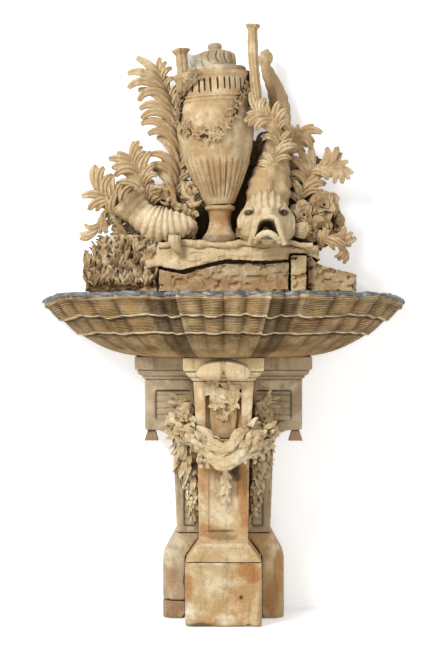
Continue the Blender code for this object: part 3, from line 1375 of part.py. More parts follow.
def build_ivy(name, rows, seed):
    """Leaf spray laid on the vase: angle round it in degrees, share of its height, and thickness."""
    heights = [row[1] for row in reversed(vase_profile())]
    radii = [row[0] for row in reversed(vase_profile())]
    frame = vase_frame()
    places = []
    for degrees, share, thick in rows:
        angle = math.radians(degrees)
        radius = float(np.interp(share, heights, radii)) + thick * 0.15
        spot = frame @ Vector((radius * math.cos(angle), radius * math.sin(angle), share * VASE_HEIGHT))
        places.append((spot.x, WALL_Y - spot.y, spot.z, thick))
    spray = lumpy(name, places, LIMEWASHED, 6, 2, 0.22, 1.7, seed, 1.0)
    seat(spray, "vase_body", "handle_right", "handle_left", "vase_lid", "frond_left_tall",
         "frond_right_leaning")


def smooth_round_pieces():
    """Shade every piece smooth, apart from its edges."""
    for obj in PARTS.objects:
        obj.data.shade_smooth()
        obj.data.set_sharp_from_angle(angle=math.radians(35))


def main():
    """Build the fountain from the floor up."""
    clear_scene()
    build_pier()
    build_wing(-1, "left")
    build_wing(1, "right")
    build_basin()
    build_water_parts()
    build_rocks()
    build_vase()
    build_dolphin()
    build_shells()
    build_leaves()
    build_garlands()
    for name in ("plinth_slab", "rock_bed", "rock_mound_right"):
        cut(bpy.data.objects[name], chase(name + "_chase"))
    smooth_round_pieces()


main()
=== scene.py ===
"""Looks of the terracotta wall fountain: worn clay blocks, a fluted and tiered shell basin with a
lead rim, rockwork, and the vase, dolphin, shells, coral, flowers and leaves that stand on it.
Metres, +Z up, front towards -Y, the flat back on the wall at +Y."""

import json
import logging
import math
from dataclasses import dataclass, field
from enum import Enum

import bmesh
import bpy
import numpy as np
from mathutils import Matrix, Vector

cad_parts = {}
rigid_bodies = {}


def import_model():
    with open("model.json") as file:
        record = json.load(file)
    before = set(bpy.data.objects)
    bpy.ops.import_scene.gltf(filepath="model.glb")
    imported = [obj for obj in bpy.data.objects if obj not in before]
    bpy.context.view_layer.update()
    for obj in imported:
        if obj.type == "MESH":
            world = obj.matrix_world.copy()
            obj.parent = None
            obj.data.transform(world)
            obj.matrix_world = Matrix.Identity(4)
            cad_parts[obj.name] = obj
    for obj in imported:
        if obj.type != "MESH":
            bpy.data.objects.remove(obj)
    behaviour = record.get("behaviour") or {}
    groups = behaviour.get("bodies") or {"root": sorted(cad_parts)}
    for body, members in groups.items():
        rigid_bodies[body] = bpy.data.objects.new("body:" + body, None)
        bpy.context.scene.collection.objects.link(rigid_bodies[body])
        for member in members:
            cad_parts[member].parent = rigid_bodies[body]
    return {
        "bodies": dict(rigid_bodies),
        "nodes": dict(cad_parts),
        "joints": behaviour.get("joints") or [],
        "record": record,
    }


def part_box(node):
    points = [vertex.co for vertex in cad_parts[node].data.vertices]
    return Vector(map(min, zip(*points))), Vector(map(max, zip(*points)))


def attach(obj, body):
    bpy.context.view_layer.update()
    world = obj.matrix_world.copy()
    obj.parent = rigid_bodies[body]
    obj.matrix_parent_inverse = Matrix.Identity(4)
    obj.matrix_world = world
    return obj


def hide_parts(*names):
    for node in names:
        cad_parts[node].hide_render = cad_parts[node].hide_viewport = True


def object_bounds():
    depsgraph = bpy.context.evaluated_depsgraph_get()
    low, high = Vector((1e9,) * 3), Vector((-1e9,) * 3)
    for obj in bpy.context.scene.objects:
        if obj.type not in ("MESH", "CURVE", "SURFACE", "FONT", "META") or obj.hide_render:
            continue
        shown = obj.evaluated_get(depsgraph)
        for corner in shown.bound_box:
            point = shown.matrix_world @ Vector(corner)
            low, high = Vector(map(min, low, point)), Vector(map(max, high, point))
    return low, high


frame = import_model()
CAD_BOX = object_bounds()

Array = np.ndarray
Colour = tuple[float, float, float]
log = logging.getLogger("fountain")

WALL_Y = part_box("pier_shaft")[1].y
BED_ABOVE_RIM = 0.076
RIM_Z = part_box("rock_bed")[0].z - BED_ABOVE_RIM
BED_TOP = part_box("rock_bed")[1].z
BASIN_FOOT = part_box("shell_basin")[0].z
SHAFT_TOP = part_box("pier_shaft")[1].z
CAPITAL_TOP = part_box("pier_capital")[1].z
FRONT = np.array((0.0, -1.0, 0.0))
WALL_GAP = 0.001
SEAT_GAP = 0.0003
FACE_GAP = 0.0006
FOUNTAIN = "fountain"
LID = "lid"


class Finish(Enum):
    """Finishes of the fountain's pieces."""

    WARM = "warm"
    SHELL = "shell"
    GREY = "grey"
    RED = "red"
    PALE = "pale"
    LEAF = "leaf"
    ROCK = "rock"
    LEAD = "lead"
    PLASTER = "plaster"
    BRASS = "brass"
    COPPER = "copper"
    IRON = "iron"


def place(x: Array, out: Array, z: Array) -> Array:
    """Points at x across, out from the wall and z up, stacked on the last axis."""
    x, out, z = np.broadcast_arrays(x, out, z)
    return np.stack([x, WALL_Y - out, z], axis=-1).astype(float)


def unit(vectors: Array) -> Array:
    """Vectors divided by their lengths."""
    return vectors / np.maximum(np.linalg.norm(vectors, axis=-1, keepdims=True), 1e-9)


def line_at(rows: Array, level: float) -> Array:
    """Path whose rows start with x across, the distance out from the wall and the height above a level."""
    return place(rows[:, 0], rows[:, 1], level + rows[:, 2])


def turns(count: int) -> Array:
    """Evenly spaced angles of a full turn, from 0."""
    return np.linspace(0, 2 * math.pi, count, endpoint=False)


def smoothstep(low: float, high: float, value: Array) -> Array:
    """0 below low, 1 above high, and 3t^2 - 2t^3 between."""
    t = np.clip((value - low) / (high - low), 0, 1)
    return t * t * (3 - 2 * t)


def lattice(cell: Array, seed: int) -> Array:
    """Hash each whole-number point to a number from -1 to 1.

    Args:
        cell: whole-number points, last axis 3.
        seed: picks one of many patterns.

    Returns:
        One number for each point: its coordinates times three primes, mixed by shifts.
    """
    mixed = cell[..., 0] * 73856093 ^ cell[..., 1] * 19349663 ^ cell[..., 2] * 83492791 ^ seed * 2654435761
    mixed = mixed & 0xFFFFFFFF
    mixed = (mixed ^ (mixed >> 13)) * 1274126177 & 0xFFFFFFFF
    return ((mixed ^ (mixed >> 16)) & 0xFFFF) / 0x7FFF - 1


def noise(points: Array, scale: float, seed: int = 0) -> Array:
    """Smooth noise: the hash of the eight lattice points round each point, blended by smooth weights.

    Args:
        points: places in metres, last axis 3.
        scale: lattice cells in a metre.
        seed: picks one of many patterns.

    Returns:
        A number from -1 to 1 for each point.
    """
    scaled = points * scale
    cell = np.floor(scaled).astype(np.int64)
    part = scaled - cell
    part = part * part * (3 - 2 * part)
    total = np.zeros(points.shape[:-1])
    for corner in np.ndindex(2, 2, 2):
        weight = np.prod(np.where(corner, part, 1 - part), axis=-1)
        total += weight * lattice(cell + np.array(corner), seed)
    return total


def fractal(points: Array, scale: float, octaves: int = 4, seed: int = 0) -> Array:
    """Sum of noises, each twice as fine and half as strong as the one before, from -1 to 1."""
    total = sum(noise(points, scale * 2 ** k, seed + k) / 2 ** k for k in range(octaves))
    return total / (2 - 0.5 ** (octaves - 1))


def smooth_rows(rows: list, count: int) -> Array:
    """Evenly many samples of a smooth curve through rows of numbers.

    Args:
        rows: control rows, each of any length: places, and radii if wanted.
        count: number of samples.

    Returns:
        Samples of the Catmull-Rom curve: each span is a cubic whose slopes follow its neighbours.
    """
    rows = np.asarray(rows, dtype=float)
    padded = np.vstack([2 * rows[0] - rows[1], rows, 2 * rows[-1] - rows[-2]])
    at = np.linspace(0, len(rows) - 1, count)
    span = np.minimum(at.astype(int), len(rows) - 2)
    t = (at - span)[:, None]
    before, start, end, after = (padded[span + k] for k in range(4))
    return 0.5 * (2 * start + (end - before) * t + (2 * before - 5 * start + 4 * end - after) * t ** 2
                  + (3 * start - before - 3 * end + after) * t ** 3)


def frames_along(path: Array, facing: Array) -> tuple[Array, Array, Array]:
    """Tangents, sides and fronts of a path.

    Args:
        path: points in order.
        facing: the way that the fronts look, one vector or one for each point.

    Returns:
        Three arrays: the slope of the path, its cross product with facing, and the product of the two.
    """
    tangents = unit(np.gradient(path, axis=0))
    sides = unit(np.cross(tangents, np.broadcast_to(facing, tangents.shape)))
    return tangents, sides, np.cross(sides, tangents)


def circle(count: int, power: float = 1.0) -> Array:
    """Points of a circle; a power under 1 squares it off."""
    angle = turns(count)
    ring = np.stack([np.cos(angle), np.sin(angle)], axis=-1)
    return np.sign(ring) * np.abs(ring) ** power


def swept(path: Array, ring: Array, radii: Array, facing: Array = FRONT, flat: float = 1.0) -> Array:
    """Grid of a ring carried along a path.

    Args:
        path: points in order.
        ring: flat ring of side and front shares, one for all, or one for each point.
        radii: radius at each point.
        facing: the way that the ring's front looks.
        flat: share of the radius along the front.

    Returns:
        Grid of points: each path point plus radius times the ring's side and front shares.
    """
    _, sides, fronts = frames_along(path, facing)
    ring = np.broadcast_to(ring, (len(path), *ring.shape[-2:]))
    radii = np.broadcast_to(radii, len(path))[:, None, None]
    offset = ring[..., :1] * sides[:, None] + ring[..., 1:] * fronts[:, None] * flat
    return path[:, None] + offset * radii


def wrinkled(points: Array, depth: float, scale: float, octaves: int = 4, seed: int = 0) -> Array:
    """Grid whose points move along their own normals by depth times a fractal noise."""
    du = np.gradient(points, axis=-3)
    dv = np.roll(points, -1, axis=-2) - np.roll(points, 1, axis=-2)
    normals = unit(np.cross(du, dv))
    return points + normals * depth * fractal(points, scale, octaves, seed)[..., None]


def quad_faces(rows: int, cols: int, closed: bool = False) -> Array:
    """Corner numbers of the faces between the rows and columns of a grid, joined round where closed."""
    index = np.arange(rows * cols).reshape(rows, cols)
    after = np.roll(index, -1, axis=1)
    corners = np.stack([index[:-1], after[:-1], after[1:], index[1:]], axis=-1)
    return (corners if closed else corners[:, :-1]).reshape(-1, 4)


def round_edge(grid: Array) -> Array:
    """Outer points of a grid, in order round it."""
    return np.concatenate([grid[0], grid[1:-1, -1], grid[-1, ::-1], grid[-2:0:-1, 0]])


def points_of(mesh: bpy.types.Mesh, kind: str = "co") -> Array:
    """Places of a mesh's points, or their normals."""
    values = np.empty(len(mesh.vertices) * 3)
    mesh.vertices.foreach_get(kind, values)
    return values.reshape(-1, 3)


class Builder:
    """Collects closed grids of points into one mesh."""

    def __init__(self) -> None:
        """Start with no points."""
        self.points: list[Array] = []
        self.faces: list[list[int]] = []
        self.count = 0

    def add(self, grids: Array) -> "Builder":
        """Add closed tubes, their columns joined round and each end closed on its middle point.

        Args:
            grids: points, (rows, columns, 3) for one tube or (tubes, rows, columns, 3) for many.

        Returns:
            The builder itself.
        """
        grids = grids[None] if grids.ndim == 3 else grids
        tubes, rows, cols = grids.shape[:3]
        quads = quad_faces(rows, cols, closed=True)
        ring = np.arange(cols)
        turn = (ring + 1) % cols
        top = (rows - 1) * cols
        fans = np.vstack([
            np.stack([turn, ring, np.full(cols, rows * cols)], axis=-1),
            np.stack([top + ring, top + turn, np.full(cols, rows * cols + 1)], axis=-1),
        ])
        flat = np.concatenate([grids.reshape(tubes, -1, 3), grids[:, :1].mean(axis=2),
                               grids[:, -1:].mean(axis=2)], axis=1)
        centred = flat - flat.mean(axis=1, keepdims=True)
        a, b, c, d = (centred[:, quads[:, k]] for k in range(4))
        volume = np.sum(np.cross(a, b) * c + np.cross(a, c) * d, axis=(1, 2))
        for points, inside in zip(flat, volume):
            order = 1 if inside > 0 else -1
            self.faces += (quads[:, ::order] + self.count).tolist() + (fans[:, ::order] + self.count).tolist()
            self.points.append(points)
            self.count += len(points)
        return self

    def place(self, matrix: Matrix) -> "Builder":
        """Move every point by a matrix."""
        turn = np.array(matrix)
        self.points = [points @ turn[:3, :3].T + turn[:3, 3] for points in self.points]
        return self

    def mesh(self, name: str, paint: dict | None = None) -> bpy.types.Mesh:
        """The mesh, with its painted values, and with points that coincide merged."""
        mesh = bpy.data.meshes.new(name)
        mesh.from_pydata(np.vstack(self.points).tolist(), [], self.faces)
        for kind, values in (paint or {}).items():
            mesh.attributes.new(kind, "FLOAT", "POINT").data.foreach_set("value", values)
        merge(mesh)
        return mesh


def merge(mesh: bpy.types.Mesh, distance: float = 1e-6) -> None:
    """Merge the points of a mesh that coincide, and drop faces of no area."""
    bm = bmesh.new()
    bm.from_mesh(mesh)
    bmesh.ops.remove_doubles(bm, verts=bm.verts, dist=distance)
    bmesh.ops.dissolve_degenerate(bm, edges=bm.edges, dist=distance / 2)
    bm.to_mesh(mesh)
    bm.free()


@dataclass(frozen=True)
class Tree:
    """Small wrapper that adds and joins the nodes of one material."""

    nodes: bpy.types.Nodes
    links: bpy.types.NodeLinks

    def add(self, kind: str, settings: dict | None = None, **inputs: object) -> bpy.types.Node:
        """Add a node.

        Args:
            kind: the node's type name without its ShaderNode prefix.
            settings: properties of the node.
            inputs: values or sockets for its inputs, by name with _ for a space.

        Returns:
            The new node.
        """
        node = self.nodes.new("ShaderNode" + kind)
        for key, value in (settings or {}).items():
            setattr(node, key, value)
        for key, value in inputs.items():
            self.set(node.inputs[key.replace("_", " ")], value)
        return node

    def set(self, socket: bpy.types.NodeSocket, value: object) -> None:
        """Give an input a value, or join it to another node's output."""
        if isinstance(value, bpy.types.NodeSocket):
            self.links.new(value, socket)
        elif isinstance(value, tuple) and len(value) == 3 and socket.type == "RGBA":
            socket.default_value = (*value, 1)
        else:
            socket.default_value = value

    def noise(self, where: bpy.types.NodeSocket, scale: float, detail: float = 6, rough: float = 0.6,
              stretch: Colour = (1, 1, 1)) -> bpy.types.NodeSocket:
        """Noise from 0 to 1 on stretched coordinates."""
        spot = self.add("Mapping", Vector=where, Scale=stretch)
        return self.add("TexNoise", Vector=spot.outputs[0], Scale=scale, Detail=detail,
                        Roughness=rough).outputs[0]

    def painted(self, name: str) -> bpy.types.NodeSocket:
        """Number stored on the mesh's points, 0 where a mesh has none."""
        return self.add("Attribute", {"attribute_name": name}).outputs["Fac"]

    def ramp(self, value: bpy.types.NodeSocket, low: float, high: float) -> bpy.types.NodeSocket:
        """0 to 1 as the value goes from low to high, smoothly."""
        node = self.add("MapRange", {"interpolation_type": "SMOOTHSTEP"}, Value=value)
        self.set(node.inputs["From Min"], low)
        self.set(node.inputs["From Max"], high)
        return node.outputs[0]

    def mapped(self, value: bpy.types.NodeSocket, *limits: float) -> bpy.types.NodeSocket:
        """Value carried from one range to another; limits are the ends of the first and of the second."""
        node = self.add("MapRange", Value=value)
        for key, limit in zip(("From Min", "From Max", "To Min", "To Max"), limits):
            node.inputs[key].default_value = limit
        return node.outputs[0]

    def math(self, kind: str, a: object, b: object = 0.5) -> bpy.types.NodeSocket:
        """Sum, product or other operation on two numbers."""
        node = self.add("Math", {"operation": kind})
        self.set(node.inputs[0], a)
        self.set(node.inputs[1], b)
        return node.outputs[0]

    def mix(self, share: object, a: object, b: object, blend: str = "MIX") -> bpy.types.NodeSocket:
        """Colour a mixed with colour b by share."""
        node = self.add("Mix", {"data_type": "RGBA", "blend_type": blend})
        self.set(node.inputs[0], share)
        self.set(node.inputs[6], a)
        self.set(node.inputs[7], b)
        return node.outputs[2]


def new_tree(name: str) -> tuple[bpy.types.Material, Tree, bpy.types.Node]:
    """Material with its tree and its Principled shader."""
    material = bpy.data.materials.new(name)
    material.use_nodes = True
    tree = Tree(material.node_tree.nodes, material.node_tree.links)
    return material, tree, material.node_tree.nodes["Principled BSDF"]


@dataclass(frozen=True)
class Clay:
    """Unglazed terracotta, weathered outdoors: blotches, run-off streaks, painted shade in hollows, lime and a
    painted highlight on edges.
    """

    base: Colour
    warm: Colour
    pale: Colour
    dirt_and_shade: Colour = (0.05, 0.026, 0.011)
    rust: Colour = (0.4, 0.155, 0.035)
    lime_and_highlight: Colour = (0.82, 0.72, 0.52)
    rust_share: float = 0.25
    lime_and_highlight_share: float = 0.35
    streak_share: float = 0.35
    shade_reach: float = 0.035
    shade_share: float = 1.0
    relief: float = 0.5

    def material(self, name: str) -> bpy.types.Material:
        """Build the finish.

        Args:
            name: the material's name.

        Returns:
            A material whose patterns follow Object coordinates, in metres.
        """
        material, tree, shader = new_tree(name)
        where = tree.add("TexCoord").outputs["Object"]
        blotch = tree.ramp(tree.noise(where, 3.1, 8, 0.62), 0.38, 0.64)
        colour = tree.mix(blotch, self.base, self.warm)
        patch = tree.ramp(tree.noise(where, 13, 9, 0.66), 0.46, 0.66)
        colour = tree.mix(tree.math("MULTIPLY", patch, 0.75), colour, self.pale)
        rust = tree.ramp(tree.noise(where, 4.3, 7, 0.6, (1, 1, 0.6)), 0.6 - 0.15 * self.rust_share, 0.74)
        rust = tree.math("MAXIMUM", tree.math("MULTIPLY", rust, self.rust_share), tree.painted("rust"))
        colour = tree.mix(rust, colour, self.rust)
        streak = tree.ramp(tree.noise(where, 3.0, 8, 0.62, (14, 14, 1.3)), 0.5, 0.72)
        colour = tree.mix(tree.math("MULTIPLY", streak, self.streak_share), colour, self.dirt_and_shade)
        speck = tree.noise(where, 210, 4, 0.7)
        light = tree.mapped(speck, 0.3, 0.7, 0.8, 1.16)
        grey = tree.add("CombineColor", Red=light, Green=light, Blue=light).outputs[0]
        colour = tree.mix(1.0, colour, grey, "MULTIPLY")
        # Painted highlight: convex edges, found by pointiness and broken by a noise, are lightened towards the
        # lime colour, partly lime crust and partly light caught on the edges. The cloud patches are lime alone.
        edge = tree.ramp(tree.add("NewGeometry").outputs["Pointiness"], 0.505, 0.56)
        scrub = tree.ramp(tree.noise(where, 38, 8, 0.7), 0.45, 0.62)
        lime_and_highlight = tree.math("MULTIPLY", tree.math("MULTIPLY", edge, scrub), self.lime_and_highlight_share)
        cloud = tree.ramp(tree.noise(where, 7.3, 10, 0.74), 0.6, 0.7)
        lime_and_highlight = tree.math("MAXIMUM", lime_and_highlight, tree.math("MULTIPLY", cloud, self.lime_and_highlight_share * 0.8))
        worn = tree.ramp(tree.noise(where, 26, 8, 0.7), 0.34, 0.6)
        lime_and_highlight = tree.math("MAXIMUM", lime_and_highlight, tree.math("MULTIPLY", worn, tree.painted("lime_and_highlight")))
        colour = tree.mix(lime_and_highlight, colour, self.lime_and_highlight)
        # The painted soot values darken the colour: dirt in some places, and painted shade in recesses and
        # behind parts in many others.
        colour = tree.mix(tree.painted("soot_and_shade"), colour, self.dirt_and_shade)
        # Painted shade: ambient occlusion, broken by a noise, darkens hollows and creases towards the dark
        # colour, as far as the shade reach.
        shade = tree.add("AmbientOcclusion", {"samples": 6}, Distance=self.shade_reach).outputs["AO"]
        hollow_shade = tree.math("ADD", shade, tree.math("MULTIPLY_ADD", tree.noise(where, 46, 6, 0.7), 0.34))
        hollow_shade = tree.math("SUBTRACT", 1.0, tree.ramp(hollow_shade, 0.64, 1.16))
        colour = tree.mix(tree.math("MULTIPLY", hollow_shade, self.shade_share), colour, self.dirt_and_shade)
        tree.set(shader.inputs["Base Color"], colour)
        tree.set(shader.inputs["Roughness"], tree.mapped(speck, 0, 1, 0.78, 0.98))
        shader.inputs["Specular IOR Level"].default_value = 0.25
        grain = tree.math("ADD", tree.math("MULTIPLY", speck, 0.35), tree.noise(where, 52, 8, 0.68))
        bump = tree.add("Bump", Strength=self.relief, Distance=0.004, Height=grain)
        tree.set(shader.inputs["Normal"], bump.outputs[0])
        return material


@dataclass(frozen=True)
class Metal:
    """Weathered metal: a tarnish that gathers in blotches over the bare colour."""

    bare: Colour
    tarnish: Colour
    metallic: float
    roughness: float
    spread: float = 0.5
    scale: float = 24.0

    def material(self, name: str) -> bpy.types.Material:
        """Build the finish on Object coordinates."""
        material, tree, shader = new_tree(name)
        where = tree.add("TexCoord").outputs["Object"]
        bloom = tree.ramp(tree.noise(where, self.scale, 9, 0.7), self.spread - 0.12, self.spread + 0.12)
        tree.set(shader.inputs["Base Color"], tree.mix(bloom, self.bare, self.tarnish))
        shader.inputs["Metallic"].default_value = self.metallic
        tree.set(shader.inputs["Roughness"],
                 tree.mapped(bloom, 0, 1, self.roughness, min(1.0, self.roughness + 0.3)))
        bump = tree.add("Bump", Strength=0.5, Distance=0.002, Height=tree.noise(where, 90, 8, 0.7))
        tree.set(shader.inputs["Normal"], bump.outputs[0])
        return material


FINISHES = {
    Finish.WARM: Clay((0.55, 0.385, 0.195), (0.54, 0.32, 0.132), (0.76, 0.62, 0.39), rust_share=0.45),
    Finish.SHELL: Clay((0.5, 0.33, 0.142), (0.41, 0.24, 0.088), (0.62, 0.455, 0.228), rust_share=0.35,
                       lime_and_highlight_share=0.5, streak_share=0.35, shade_reach=0.03),
    Finish.GREY: Clay((0.47, 0.368, 0.232), (0.4, 0.298, 0.178), (0.64, 0.525, 0.355), rust_share=0.35),
    Finish.RED: Clay((0.37, 0.248, 0.153), (0.32, 0.2, 0.109), (0.52, 0.39, 0.252), lime_and_highlight_share=0.3),
    Finish.PALE: Clay((0.68, 0.525, 0.305), (0.56, 0.39, 0.195), (0.85, 0.73, 0.5), rust_share=0.2,
                      lime_and_highlight_share=0.6, shade_reach=0.05),
    Finish.LEAF: Clay((0.53, 0.37, 0.19), (0.46, 0.295, 0.14), (0.76, 0.62, 0.395), rust_share=0.15,
                      shade_reach=0.08),
    Finish.ROCK: Clay((0.48, 0.355, 0.197), (0.41, 0.275, 0.139), (0.65, 0.53, 0.336), rust_share=0.2,
                      lime_and_highlight_share=0.5, relief=0.8),
    Finish.LEAD: Metal((0.13, 0.133, 0.138), (0.44, 0.442, 0.44), 0.5, 0.5, 0.6),
    Finish.PLASTER: Clay((0.46, 0.42, 0.35), (0.38, 0.33, 0.25), (0.66, 0.63, 0.57), lime_and_highlight_share=0.6),
    Finish.BRASS: Metal((0.52, 0.38, 0.15), (0.14, 0.2, 0.13), 1.0, 0.35, 0.55),
    Finish.COPPER: Metal((0.5, 0.24, 0.13), (0.13, 0.26, 0.2), 0.9, 0.4, 0.6),
    Finish.IRON: Metal((0.12, 0.1, 0.09), (0.22, 0.09, 0.04), 0.7, 0.6, 0.5),
}


class Workshop:
    """Makes the finishes once and puts finished pieces on the fountain."""

    def __init__(self) -> None:
        """Build every finish."""
        self.finishes = {kind: look.material("finish_" + kind.value) for kind, look in FINISHES.items()}

    def finish(self, name: str, shape: "Builder | bpy.types.Mesh", look: Finish, body: str = FOUNTAIN,
               nodes: tuple[str, ...] = (), sharp: float = 40.0, stains: tuple = (),
               paint: dict | None = None) -> None:
        """Put a shape on the fountain.

        Args:
            name: the piece's name.
            shape: closed tubes or a mesh, in place.
            look: its finish.
            body: the body that it rides on.
            nodes: the frame's nodes that it stands for.
            sharp: edges over this many degrees stay sharp.
            stains: the values of each patch painted on it.
            paint: values of the tubes' points, by kind.
        """
        mesh = shape.mesh(name, paint) if isinstance(shape, Builder) else shape
        for stain in stains:
            Stain(*stain).paint(mesh)
        piece = bpy.data.objects.new(name, mesh)
        bpy.context.scene.collection.objects.link(piece)
        mesh.materials.clear()
        mesh.materials.append(self.finishes[look])
        mesh.shade_smooth()
        mesh.set_sharp_from_angle(angle=math.radians(sharp))
        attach(piece, body)
        if nodes:
            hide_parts(*nodes)
        log.info("%s: %d faces", name, len(mesh.polygons))

    def dress(self, node: str, look: Finish) -> None:
        """Give a node of the frame a finish."""
        mesh = frame["nodes"][node].data
        mesh.materials.clear()
        mesh.materials.append(self.finishes[look])
        log.info("%s keeps its shape", node)


@dataclass(frozen=True)
class Wear:
    """How a block has weathered: remeshed at a pitch, its edges rounded and chipped, its faces uneven."""

    pitch: float = 0.004
    rounding: int = 3
    grain: float = 0.0012
    grain_scale: float = 14.0
    chips: float = 0.006
    rough: float = 0.0005
    pits: float = 0.0
    stretch: Colour = (1.0, 1.0, 1.0)

    def apply(self, mesh: bpy.types.Mesh, seed: int) -> bpy.types.Mesh:
        """Weather a closed mesh.

        Each point moves inwards by grain and rough noises, and by the chips where the face is convex:
        where the point stands out from the mean of its neighbours.

        Args:
            mesh: closed mesh; it is used up.
            seed: picks one of many patterns.

        Returns:
            The weathered mesh.
        """
        holder = bpy.data.objects.new("block", mesh)
        bpy.context.scene.collection.objects.link(holder)
        remesh = holder.modifiers.new("even", "REMESH")
        remesh.mode = "VOXEL"
        remesh.voxel_size = self.pitch
        remesh.adaptivity = 0.0
        bpy.context.view_layer.update()
        made = bpy.data.meshes.new_from_object(holder.evaluated_get(bpy.context.evaluated_depsgraph_get()))
        bpy.data.objects.remove(holder, do_unlink=True)
        count = len(made.vertices)
        points = points_of(made)
        ends = np.empty(len(made.edges) * 2, dtype=np.int64)
        made.edges.foreach_get("vertices", ends)
        ends = ends.reshape(-1, 2)
        degree = np.maximum(np.bincount(ends.ravel(), minlength=count), 1)[:, None]

        def relaxed(now: Array) -> Array:
            """Mean of each point's neighbours."""
            both = np.vstack([ends, ends[:, ::-1]])
            sums = [np.bincount(both[:, 0], now[both[:, 1], axis], count) for axis in range(3)]
            return np.stack(sums, axis=-1) / degree

        for _ in range(self.rounding):
            points = 0.5 * points + 0.5 * relaxed(points)
        made.vertices.foreach_set("co", points.ravel())
        made.update()
        normals = points_of(made, "normal")
        wide = points
        for _ in range(6):
            wide = relaxed(wide)
        convex = smoothstep(0.0004, 0.002, np.sum((points - wide) * normals, axis=-1))
        flaw = np.clip(fractal(points, 22, 3, seed + 9) * 1.6 - 0.15, 0, 1)
        depth = self.grain * (0.5 + 0.5 * fractal(points * self.stretch, self.grain_scale, 4, seed))
        depth += self.rough * (0.5 + 0.5 * noise(points, 160, seed + 3)) + self.chips * convex * flaw
        pitted = noise(points * (1, 1, 1.7), 34, seed + 5) + 0.4 * noise(points, 80, seed + 6)
        depth += self.pits * smoothstep(0.05, 0.45, pitted)
        made.vertices.foreach_set("co", (points - normals * depth[:, None]).ravel())
        made.update()
        return made


@dataclass(frozen=True)
class Stain:
    """Patch painted on a piece: its kind, its middle and half sizes across and up, and its strength."""

    kind: str
    x: float
    z: float
    half_x: float
    half_z: float
    strength: float

    def paint(self, mesh: bpy.types.Mesh) -> None:
        """Store the patch: strength times a bell of the place, its edge broken by a fractal noise."""
        points = points_of(mesh)
        far = ((points[:, 0] - self.x) / self.half_x) ** 2 + ((points[:, 2] - self.z) / self.half_z) ** 2
        ragged = 0.55 * fractal(points, 40, 4, int(self.x * 999) % 97)
        value = self.strength * (1 - smoothstep(0.55, 1.25, np.sqrt(far) + ragged))
        layer = mesh.attributes.get(self.kind) or mesh.attributes.new(self.kind, "FLOAT", "POINT")
        before = np.empty(len(mesh.vertices))
        layer.data.foreach_get("value", before)
        layer.data.foreach_set("value", np.maximum(before, value))


def copied(node: str) -> bpy.types.Mesh:
    """Copy of a frame node's mesh, merged."""
    mesh = frame["nodes"][node].data.copy()
    merge(mesh, 1e-5)
    return mesh


def stage_and_camera() -> None:
    """White floor and a wall open from behind, soft lamps, and the camera of the photograph."""
    material = bpy.data.materials.new("backdrop_white")
    material.use_nodes = True
    tree = Tree(material.node_tree.nodes, material.node_tree.links)
    tree.nodes.clear()
    paths = tree.add("LightPath")
    seen = tree.math("MAXIMUM", paths.outputs["Is Camera Ray"], paths.outputs["Is Glossy Ray"])
    seen = tree.math("MAXIMUM", seen, paths.outputs["Is Transmission Ray"])
    plain = tree.add("BsdfDiffuse", Color=(0.9, 0.9, 0.9))
    glow = tree.add("Emission", Color=(1.0, 1.0, 1.0), Strength=0.42)
    dark = tree.add("Emission", Color=(0.0, 0.0, 0.0), Strength=0.0)
    chosen = tree.add("MixShader")
    tree.set(chosen.inputs[0], seen)
    tree.links.new(dark.outputs[0], chosen.inputs[1])
    tree.links.new(glow.outputs[0], chosen.inputs[2])
    both = tree.add("AddShader")
    tree.links.new(plain.outputs[0], both.inputs[0])
    tree.links.new(chosen.outputs[0], both.inputs[1])
    behind = tree.math("MULTIPLY", tree.add("NewGeometry").outputs["Backfacing"],
                       paths.outputs["Is Camera Ray"])
    open_back = tree.add("MixShader")
    tree.set(open_back.inputs[0], behind)
    tree.links.new(both.outputs[0], open_back.inputs[1])
    tree.links.new(tree.add("BsdfTransparent").outputs[0], open_back.inputs[2])
    tree.links.new(open_back.outputs[0], tree.add("OutputMaterial").inputs[0])
    half, rise = 6.0, 7.0
    wall = WALL_Y + 0.004
    sheet = np.array([[-half, -half, 0], [half, -half, 0], [half, wall, 0], [-half, wall, 0],
                      [half, wall, rise], [-half, wall, rise]])
    mesh = bpy.data.meshes.new("studio")
    mesh.from_pydata(sheet.tolist(), [], [(0, 1, 2, 3), (3, 2, 4, 5)])
    mesh.materials.append(material)
    floor = bpy.data.objects.new("studio", mesh)
    bpy.context.scene.collection.objects.link(floor)

    world = bpy.data.worlds.new("studio_air")
    world.use_nodes = True
    world.node_tree.nodes["Background"].inputs[0].default_value = (1.0, 1.0, 1.0, 1.0)
    world.node_tree.nodes["Background"].inputs[1].default_value = 0.21
    bpy.context.scene.world = world
    for name, spot, aim, size, power in (
        ("key", (-2.6, -3.6, 4.2), (0.0, 0.0, 1.2), 1.8, 235.0),
        ("fill", (3.2, -3.4, 1.8), (0.0, 0.0, 1.1), 3.0, 45.0),
        ("low", (-0.6, -4.2, 0.5), (0.0, 0.0, 0.9), 2.6, 28.0),
    ):
        lamp = bpy.data.lights.new(name, "AREA")
        lamp.size = size
        lamp.energy = power
        holder = bpy.data.objects.new(name, lamp)
        holder.location = spot
        holder.rotation_euler = (Vector(aim) - Vector(spot)).to_track_quat("-Z", "Y").to_euler()
        bpy.context.scene.collection.objects.link(holder)

    distance, eye = 6.82, 1.1416
    camera = bpy.data.cameras.new("camera")
    camera.sensor_fit = "VERTICAL"
    camera.sensor_height = 36.0
    camera.lens = 98.8
    camera.shift_x = -0.0116
    camera.shift_y = -0.0216
    holder = bpy.data.objects.new("camera", camera)
    holder.location = (0.0, WALL_Y - distance, eye)
    holder.rotation_euler = (math.pi / 2, 0.0, 0.0)
    bpy.context.scene.collection.objects.link(holder)
    bpy.context.scene.camera = holder
    bpy.context.scene.view_settings.view_transform = "Standard"


